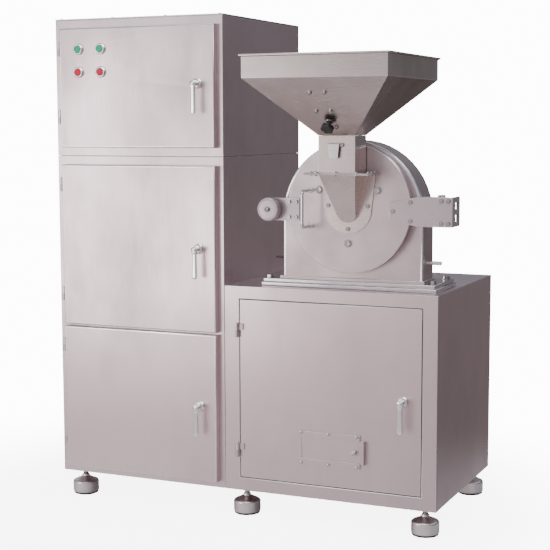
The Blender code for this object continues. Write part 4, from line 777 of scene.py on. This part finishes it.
# ---------------------------------------------------------------- feet
def feet():
    """Levelling feet: a rubber pad in a turned steel cup, a threaded stem and a lock nut."""
    for row in ("front", "rear"):
        for side in ("left", "middle", "right"):
            node = f"{row}_{side}_foot"
            low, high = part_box(node)
            c = Vector(((low.x + high.x) / 2, (low.y + high.y) / 2, 0))
            top = high.z
            pad = [(0.0405, 0.0), (0.0425, 0.0012), (0.0430, 0.0060), (0.0425, 0.0072)]
            cup = [(0.0432, 0.0068), (0.0446, 0.0085), (0.0450, 0.0120), (0.0450, 0.0400), (0.0446, 0.0432),
                   (0.0430, 0.0455), (0.0400, 0.0475), (0.0200, 0.0565), (0.0135, 0.0600), (0.0125, 0.0660),
                   (0.0120, 0.0665)]
            groove = 0.0012
            stem = [(0.0090, 0.064)]
            z = 0.0665
            while z < top - 0.014:
                stem += [(0.0090, z), (0.0090 - 0.0008, z + groove / 2)]
                z += groove
            stem += [(0.0090, z), (0.0090, top - 0.002)]
            nut = [(0.0145, top - 0.0115), (0.0155, top - 0.0105), (0.0155, top - 0.0030),
                   (0.0145, top - 0.0020)]
            flange = [(0.0180, top - 0.0024), (0.0180, top)]
            piece(f"{node}_turned", ROOT, [
                (turned(pad, c, UP, 48), RUBBER), (turned(cup, c, UP, 56), FITTING),
                (turned(stem, c, UP, 20), BOLT_STEEL), (turned(nut, c, UP, 6, spin=0.3), FITTING),
                (turned(flange, c, UP, 32), FITTING),
            ], (node,))


# ---------------------------------------------------------------- mill
def mill_body():
    """The base plates, the casing and the chamber door with its clamp, hinge and pull handle."""
    eased("base_lower_plate", PLATE_STEEL, 0.0020, 0.03)
    eased("base_upper_plate", PLATE_STEEL, 0.0020, 0.03)
    eased("mill_casing", MILL_STEEL, 0.0010, 0.03, slanted=True)
    eased("chamber_door", MILL_STEEL, 0.0005, 0.05, slanted=True)
    eased("clamp_plate", BRACKET, 0.0008, 0.02)
    eased("clamp_screw", FITTING, 0.0)
    eased("hinge_arm", BRACKET, 0.0008, 0.02)
    eased("hinge_bracket", BRACKET, 0.0006, 0.02)
    eased("chamber_hinge_pin", BOLT_STEEL, 0.0)
    eased("pull_handle", POLISHED, 0.0)
    eased("toothed_disc", MACHINED, 0.0006, 0.008)
    clamp_knob()
    pull_flanges()
    centre = Vector((SHAFT.x, FACE_Y, SHAFT.z))
    ring = 0.112
    bolts = [(centre + ring * Vector((math.cos(a), 0, math.sin(a))), FRONT)
             for a in map(math.radians, (30, 150, 270))]
    fasteners("disc_bolts", "chamber_door", "hex_large", bolts)
    low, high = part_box("clamp_plate")
    middle = (low.z + high.z) / 2
    screws = [(Vector((at(x, 0, 0).x, low.y, middle + side)), FRONT)
              for x in (0.8505, 0.8750) for side in (0.024, -0.024)]
    low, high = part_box("hinge_arm")
    middle = (low.z + high.z) / 2
    for x, side in ((1.1970, 0.0), (1.2540, 0.029), (1.2540, -0.029), (1.3520, 0.034), (1.3745, 0.034),
                    (1.3520, -0.034), (1.3745, -0.034)):
        screws.append((Vector((at(x, 0, 0).x, low.y, middle + side)), FRONT))
    fasteners("clamp_and_hinge_screws", "chamber_door", "socket", screws)
    base_bolts()


def clamp_knob():
    """A dished hand knob with a turned rim, a hub and its cap screw."""
    low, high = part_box("clamp_knob")
    back = Vector(((low.x + high.x) / 2, high.y, (low.z + high.z) / 2))
    profile = [(0.0076, 0.0), (0.0215, 0.0), (0.0225, 0.0012), (0.0235, 0.0075), (0.0345, 0.0086),
               (0.0368, 0.0100), (0.0380, 0.0130), (0.0380, 0.0270), (0.0372, 0.0302), (0.0350, 0.0326),
               (0.0325, 0.0336), (0.0305, 0.0332), (0.0298, 0.0322), (0.0285, 0.0322), (0.0280, 0.0330),
               (0.0120, 0.0334), (0.0112, 0.0326), (0.0076, 0.0326)]
    screw = [(0.0070, 0.020), (0.0070, 0.0345), (0.0060, 0.0353), (0.0034, 0.0353), (0.0032, 0.0325),
             (0.0006, 0.0322)]
    piece("hand_knob", BODY["clamp_knob"], [
        (turned(profile, back, FRONT, 72, closed=True), BRACKET),
        (turned(screw, back, FRONT, 24), BOLT_STEEL),
    ], ("clamp_knob",))


def pull_flanges():
    """Small flanges where the pull handle meets the door."""
    low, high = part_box("pull_handle")
    x = (low.x + high.x) / 2
    parts = []
    for z in (low.z + 0.005, high.z - 0.005):
        profile = [(0.0095, -0.0002), (0.0095, 0.0020), (0.0080, 0.0032), (0.0051, 0.0040)]
        parts.append((turned(profile, Vector((x, FACE_Y, z)), FRONT, 28), FITTING))
    piece("pull_handle_flanges", "chamber_door", parts)


def base_bolts():
    """Bolts that hold the base plates down and the casing to them."""
    low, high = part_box("base_upper_plate")
    corners = ((low.x + 0.012, low.y + 0.022), (low.x + 0.012, high.y - 0.022),
               (high.x - 0.016, low.y + 0.039), (high.x - 0.014, high.y - 0.036))
    fasteners("base_plate_bolts", ROOT, "hex_large", [(Vector((x, y, high.z)), UP) for x, y in corners])
    low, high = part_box("bearing_housing")
    rows = [(Vector((SHAFT.x + side * 0.101, y, low.z + 0.014)), UP) for side in (-1, 1)
            for y in (low.y + 0.030, high.y - 0.018)]
    ring = [(Vector((SHAFT.x + 0.047 * math.cos(a), high.y, SHAFT.z + 0.047 * math.sin(a))), REAR)
            for a in (math.radians(60 * k + 30) for k in range(6))]
    fasteners("bearing_bolts", ROOT, "hex_small", rows + ring)


# ---------------------------------------------------------------- feed path
def feed_path():
    """The hopper, throat, chute and gate with their screws."""
    eased("hopper", HOPPER_SHEET, 0.0012, 0.02)
    eased("throat", HOPPER_SHEET, 0.0012, 0.02)
    eased("feed_chute", HOPPER_SHEET, 0.0010, 0.02)
    eased("feed_gate", FITTING, 0.0003, 0.02)
    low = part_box("throat")[0]
    flange_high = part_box("feed_chute")[1]
    sheet = 0.003
    z = flange_high.z - sheet
    bolts = []
    for x in (-0.066, -0.003, 0.066):
        bolts.append((Vector((SHAFT.x + x, low.y + 0.006, z)), DOWN))
    for y in (low.y + 0.034, low.y + 0.064, low.y + 0.094):
        bolts += [(Vector((SHAFT.x + side * 0.094, y, z)), DOWN) for side in (-1, 1)]
    fasteners("flange_nuts", "chamber_door", "hex_tiny", bolts)
    tops = [(point + UP * (low.z + sheet - z), UP) for point, _ in bolts]
    fasteners("flange_bolts", "chamber_door", "hex_tiny", tops)
    back = flange_high.y - sheet
    screws = [(Vector((SHAFT.x + x, back, SHAFT.z + up)), FRONT)
              for x, up in ((-0.066, 0.007), (0.066, 0.007), (0.0, -0.066))]
    gate_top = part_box("feed_gate")[1].z
    screws.append((Vector((at(1.066, 0, 0).x, low.y + 0.012, gate_top - 0.004)), FRONT))
    fasteners("chute_screws", "chamber_door", "socket", screws)
    slope_details()


def slope_details():
    """The black star knob and the dome-headed screws on the hopper's sloping front."""
    joint = JOINTS["throttle_knob_turn"]
    foot, facing = Vector(joint["pos_m"]), Vector(joint["axis"]).normalized()
    uphill = RIGHT.cross(facing).normalized()
    if uphill.z < 0:
        uphill = -uphill
    profile = [(0.0070, 0.0010), (0.0070, 0.0135), (0.0150, 0.0142), (0.0186, 0.0160), (0.0195, 0.0190),
               (0.0195, 0.0255), (0.0184, 0.0284), (0.0150, 0.0298), (0.0070, 0.0296), (0.0055, 0.0286),
               (0.0012, 0.0284)]
    ring = [(0.0125, 0.0002), (0.0125, 0.0020), (0.0115, 0.0026), (0.0072, 0.0026)]
    piece("throttle_star_knob", "throttle_knob", [
        (turned(profile, foot, facing, 72, 6, 0.075), BLACK_KNOB),
        (turned(ring, foot, facing, 32), BOLT_STEEL),
    ], ("throttle_knob",))
    middle = foot + RIGHT * (SHAFT.x - foot.x)
    rows = [(-0.029, 0.133), (0.018, 0.133), (-0.032, 0.052), (0.013, 0.052)]
    places = [(middle + RIGHT * x + uphill * up, facing) for x, up in rows]
    places.append((foot + RIGHT * 0.019 + uphill * -0.019, facing))
    fasteners("slope_screws", "chamber_door", "socket", places)


# ---------------------------------------------------------------- rotor and drive
def rotor_and_drive():
    """What turns inside the mill and the cabinets, and what stands there with it."""
    eased("rotor", MACHINED, 0.0008, 0.008)
    for node in ("hammer_1", "hammer_2", "hammer_3", "hammer_4"):
        eased(node, MACHINED, 0.0008, 0.008)
    for node in ("mill_pulley", "motor_pulley", "bearing_housing", "fan_impeller"):
        eased(node, IRON, 0.0006, 0.006)
    eased("belt_guard", CABINET, 0.0010, 0.03)
    eased("drive_belt", BELT_RUBBER, 0.0012, 0.004)
    screen()
    motor()
    fan_motor()
    filter_cartridge()
    switchgear()


def screen():
    """The perforated screen drum, with a solid band along each edge."""
    low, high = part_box("screen_ring")
    radius = (high.x - low.x) / 2 - 0.0015
    centre = Vector((SHAFT.x, (low.y + high.y) / 2, SHAFT.z))
    width = high.y - low.y
    place = Matrix.Translation(centre) @ turn_to(REAR).to_matrix().to_4x4()
    drum = DRUM.grown("screen_drum", ROOT, bpy.data.meshes.new("drum"), place, Around=120, Along=7,
                      Radius=radius, Width=width - 0.010, Hole=0.56, Material=MACHINED)
    wall = drum.modifiers.new("wall", "SOLIDIFY")
    wall.thickness = 0.0016
    wall.offset = 0.0
    bands = []
    inside, outside, wide = radius - 0.0014, radius + 0.0014, 0.006
    for y in (-width / 2, width / 2 - wide):
        band = [(inside, y), (outside, y), (outside, y + wide), (inside, y + wide)]
        bands.append((turned(band, centre, REAR, 96, closed=True), MACHINED))
    piece("screen_bands", ROOT, bands, ("screen_ring",))


def motor():
    """A foot-mounted motor with cooling fins, a fan cowl and a terminal box."""
    low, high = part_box("motor")
    axis = Vector((MOTOR_AXIS.x, low.y, MOTOR_AXIS.z))
    length = high.y - low.y
    radius = 0.105
    barrel, band = radius - 0.013, radius - 0.010
    shell = [(0.030, 0.0), (0.070, 0.0), (0.074, 0.006), (radius - 0.012, 0.010), (band, 0.022),
             (barrel, 0.026), (barrel, length * 0.72), (band, length * 0.73)]
    cowl = [(band, length * 0.73), (radius - 0.002, length * 0.74), (radius - 0.001, length * 0.95),
            (radius - 0.008, length * 0.99), (0.060, length), (0.012, length)]
    shapes = [turned(shell, axis, REAR, 48), turned(cowl, axis, REAR, 48)]
    # the foot plate, its two brackets, the terminal box and its lid, with x measured from the axis
    foot, lid, crown = low.z, high.z, axis.z + radius
    across = RIGHT * axis.x
    for one, other, ease in (
            ((-0.110, low.y + 0.040, foot), (0.110, high.y - 0.050, foot + 0.014), 0.002),
            ((-0.085, low.y + 0.060, foot + 0.010), (-0.055, high.y - 0.070, axis.z - 0.060), 0.002),
            ((0.055, low.y + 0.060, foot + 0.010), (0.085, high.y - 0.070, axis.z - 0.060), 0.002),
            ((-0.050, low.y + 0.050, crown - 0.020), (0.050, low.y + 0.150, lid - 0.012), 0.003),
            ((-0.054, low.y + 0.046, lid - 0.014), (0.054, low.y + 0.154, lid), 0.003)):
        shapes.append(block(Vector(one) + across, Vector(other) + across, ease))
    piece("motor_body", ROOT, [(shape, MOTOR_BLUE) for shape in shapes], ("motor",))
    middle = Vector((axis.x, low.y + length * 0.37, axis.z))
    place = Matrix.Translation(middle) @ turn_to(REAR).to_matrix().to_4x4()
    FINS.grown("motor_fins", ROOT, bpy.data.meshes.new("fins"), place, Count=40, Radius=radius - 0.009,
               Height=0.014, Length=length * 0.60, Thickness=0.0024, Material=MOTOR_BLUE)
    bolts = [(Vector((axis.x + side * 0.098, y, foot + 0.014)), UP) for side in (-1, 1)
             for y in (low.y + 0.060, high.y - 0.070)]
    fasteners("motor_bolts", ROOT, "hex", bolts)


def fan_motor():
    """The fan's motor, banded at both ends."""
    low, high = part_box("fan_motor")
    centre = Vector(((low.x + high.x) / 2, (low.y + high.y) / 2, low.z))
    tall = high.z - low.z
    body = [(0.020, 0.0), (0.036, 0.0), (0.0395, 0.004), (0.0395, tall * 0.30), (0.036, tall * 0.32),
            (0.036, tall * 0.80), (0.0395, tall * 0.82), (0.0395, tall - 0.001), (0.036, tall)]
    piece("fan_motor_body", ROOT, [(turned(body, centre, UP, 48), IRON)], ("fan_motor",))


def filter_cartridge():
    """A pleated felt cartridge between a steel foot and a steel flange."""
    low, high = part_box("filter_cartridge")
    centre = Vector(((low.x + high.x) / 2, (low.y + high.y) / 2, 0))
    outer, inner = 0.149, 0.124
    pleats = 64
    felt = 0.0035
    bottom, top = low.z + 0.012, high.z - 0.010
    rings = []
    for z, inward in ((bottom, 0.0), (top, 0.0), (top, felt), (bottom, felt)):
        ring = []
        for i in range(2 * pleats):
            angle = math.pi * i / pleats
            r = (outer if i % 2 == 0 else inner) - inward
            ring.append(centre + Vector((r * math.cos(angle), r * math.sin(angle), z)))
        rings.append(ring)
    foot = [(0.150, low.z), (0.150, low.z + 0.014), (0.147, low.z + 0.016), (0.020, low.z + 0.016)]
    flange = [(0.118, high.z - 0.012), (0.150, high.z - 0.012), (0.150, high.z - 0.004),
              (0.168, high.z - 0.004), (0.168, high.z), (0.118, high.z)]
    piece("pleated_filter", ROOT, [
        (loft(rings, closed=True), FELT), (turned(foot, centre, UP, 64), FITTING),
        (turned(flange, centre, UP, 64, closed=True), FITTING),
    ], ("filter_cartridge",))


def switchgear():
    """Contactors, a terminal row and their wires on the mounting plate."""
    low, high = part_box("electrical_plate")
    plate = block((low.x, high.y - 0.003, low.z), (high.x, high.y, high.z), 0.0006)
    parts = [(plate, CABINET)]
    y = high.y - 0.003
    top = high.z - 0.065
    left = at(0, 0, 0).x
    rail = block((left + 0.090, y - 0.008, top - 0.052), (left + 0.470, y, top - 0.034), 0.0006)
    parts.append((rail, BOLT_STEEL))
    for x in (0.110, 0.180, 0.330, 0.400):
        x0 = left + x
        case = block((x0, y - 0.060, top - 0.085), (x0 + 0.045, y - 0.006, top), 0.0015)
        snout = block((x0 + 0.004, y - 0.084, top - 0.066), (x0 + 0.041, y - 0.056, top - 0.019), 0.002)
        parts += [(case, RELAY_GREY), (snout, RELAY_BLACK)]
        for step in (0.010, 0.0225, 0.035):
            for z in (top - 0.008, top - 0.077):
                head = [(0.0036, 0.0), (0.0036, 0.0016), (0.0028, 0.0022)]
                seat = Vector((x0 + step, y - 0.060, z))
                parts.append((turned(head, seat, FRONT, 12), BOLT_STEEL))
    rail_z = low.z + 0.040
    for i in range(24):
        x0 = left + 0.112 + 0.014 * i
        colour = RELAY_GREY if i % 6 else GREEN_CAP
        parts.append((block((x0, y - 0.042, rail_z), (x0 + 0.0125, y, rail_z + 0.035), 0.0010), colour))
    for k, x in enumerate((0.120, 0.190, 0.340, 0.410)):
        for step, wire in ((0.0, WIRE_RED), (0.0125, RELAY_BLACK), (0.025, WIRE_BLUE)):
            start = Vector((left + x + step, y - 0.058, top - 0.082))
            way = 6 * k + round(step / 0.0125)
            end = Vector((left + 0.118 + 0.014 * way, y - 0.030, rail_z + 0.032))
            path = []
            for i in range(13):
                share = i / 12
                point = start.lerp(end, share * share * (3 - 2 * share))
                point.z = start.z + (end.z - start.z) * share
                path.append(point)
            parts.append((tube(path, 0.0016, 8), wire))
    piece("switchgear", ROOT, parts, ("electrical_plate",))


# ---------------------------------------------------------------- stage
PAPER_STRENGTH = 13.0
BRIGHT_WAY = (-0.50, -0.85, 0.12)
WARM_BELOW = (1.0, 0.87, 0.885, 1.0)
COOL_ABOVE = (0.90, 0.95, 1.06, 1.0)
# each soft box's name, place, aim, width and height, and power
SOFT_BOXES = (
    ("key_box", (-2.3, -3.3, 0.9), (0.0, 0.0, 0.8), (2.0, 1.8), 45.0),
    ("back_box", (-2.4, 3.0, 1.7), (0.0, 0.0, 0.8), (2.2, 1.8), 60.0),
    ("top_box", (0.9, -1.1, 3.3), (0.3, 0.0, 1.0), (2.8, 2.0), 75.0),
)
CAMERA_PLACE = (1.8304, -4.0628, 1.2912)
CAMERA_TURN = 23.83
CAMERA_DIP = 6.46
CAMERA_ROLL = -0.16
CAMERA_LENS = 87.2


def stage():
    """A pale floor that fades out, a soft studio and the camera."""
    floor_mesh = bpy.data.meshes.new("floor")
    spokes = 96
    radius = 1.9
    bm = bmesh.new()
    bmesh.ops.create_circle(bm, cap_ends=True, segments=spokes, radius=radius)
    bm.to_mesh(floor_mesh)
    bm.free()
    floor = bpy.data.objects.new("floor", floor_mesh)
    bpy.context.scene.collection.objects.link(floor)
    just_under = -0.0005
    floor.location = (-0.1, -0.1, just_under)
    made = Finish("pale_floor", (0.86, 0.855, 0.85), 0.0, 0.7)
    place = made.node("ShaderNodeTexCoord")
    away = made.node("ShaderNodeVectorMath", {0: place.outputs["Object"]}, operation="LENGTH")
    fade = made.ranged(away.outputs["Value"], 0.5, 0.0, 0.7, radius - 0.1)
    made.tree.links.new(fade, made.shader.inputs["Alpha"])
    floor_mesh.materials.append(made.material)
    studio_light()
    camera()


def studio_light():
    """A soft surround, bright ahead on the left and overhead and dim elsewhere, with three soft boxes."""
    world = bpy.data.worlds.new("studio")
    bpy.context.scene.world = world
    world.use_nodes = True
    world.node_tree.nodes.clear()

    def add(kind, inputs=(), **settings):
        """The outputs of a new node in the world's tree."""
        return wired(world.node_tree, kind, inputs, **settings).outputs

    def stepped(value, start, end, low, high):
        """Value mapped smoothly from start..end to low..high."""
        limits = {"Value": value, "From Min": start, "From Max": end, "To Min": low, "To Max": high}
        return add("ShaderNodeMapRange", limits, interpolation_type="SMOOTHSTEP")["Result"]

    def brighter(one, other):
        """The larger of two values."""
        return add("ShaderNodeMath", {0: one, 1: other}, operation="MAXIMUM")["Value"]

    way = add("ShaderNodeTexCoord")["Generated"]
    ahead = add("ShaderNodeVectorMath", {0: way, 1: BRIGHT_WAY}, operation="DOT_PRODUCT")["Value"]
    lobe = stepped(ahead, -0.75, 0.92, 0.0, 0.70)
    height = add("ShaderNodeSeparateXYZ", {"Vector": way})["Z"]
    wall = stepped(height, -0.5, -0.2, 0.05, 0.20)
    overhead = stepped(height, 0.35, 0.85, 0.0, 1.05)
    total = brighter(brighter(lobe, wall), overhead)
    sky = stepped(height, -0.25, 0.25, 0.0, 1.0)
    tints = {"Factor": sky, "A": WARM_BELOW, "B": COOL_ABOVE}
    tint = add("ShaderNodeMix", tints, data_type="RGBA")["Result"]
    surround = add("ShaderNodeBackground", {"Color": tint, "Strength": total})["Background"]
    white = {"Color": (1.0, 1.0, 1.0, 1.0), "Strength": PAPER_STRENGTH}
    paper = add("ShaderNodeBackground", white)["Background"]
    seen = add("ShaderNodeLightPath")["Is Camera Ray"]
    mixed = add("ShaderNodeMixShader", {"Fac": seen, 1: surround, 2: paper})["Shader"]
    add("ShaderNodeOutputWorld", {"Surface": mixed})
    for name, place, aim, size, power in SOFT_BOXES:
        light = bpy.data.lights.new(name, "AREA")
        light.shape = "RECTANGLE"
        light.size, light.size_y = size
        light.energy = power
        lamp = bpy.data.objects.new(name, light)
        lamp.location = place
        lamp.rotation_euler = (Vector(aim) - Vector(place)).to_track_quat("-Z", "Y").to_euler()
        bpy.context.scene.collection.objects.link(lamp)


def camera():
    """The camera, in front of the mill's side at about chest height."""
    lens = bpy.data.cameras.new("camera")
    lens.lens = CAMERA_LENS
    lens.sensor_width = 36.0
    made = bpy.data.objects.new("camera", lens)
    turn = (Matrix.Rotation(math.radians(CAMERA_TURN), 4, "Z")
            @ Matrix.Rotation(math.radians(90 - CAMERA_DIP), 4, "X")
            @ Matrix.Rotation(math.radians(CAMERA_ROLL), 4, "Z"))
    made.matrix_world = Matrix.Translation(CAMERA_PLACE) @ turn
    bpy.context.scene.collection.objects.link(made)
    bpy.context.scene.camera = made


cabinets()
lever_locks()
push_buttons()
hatch()
feet()
mill_body()
feed_path()
rotor_and_drive()
stage()
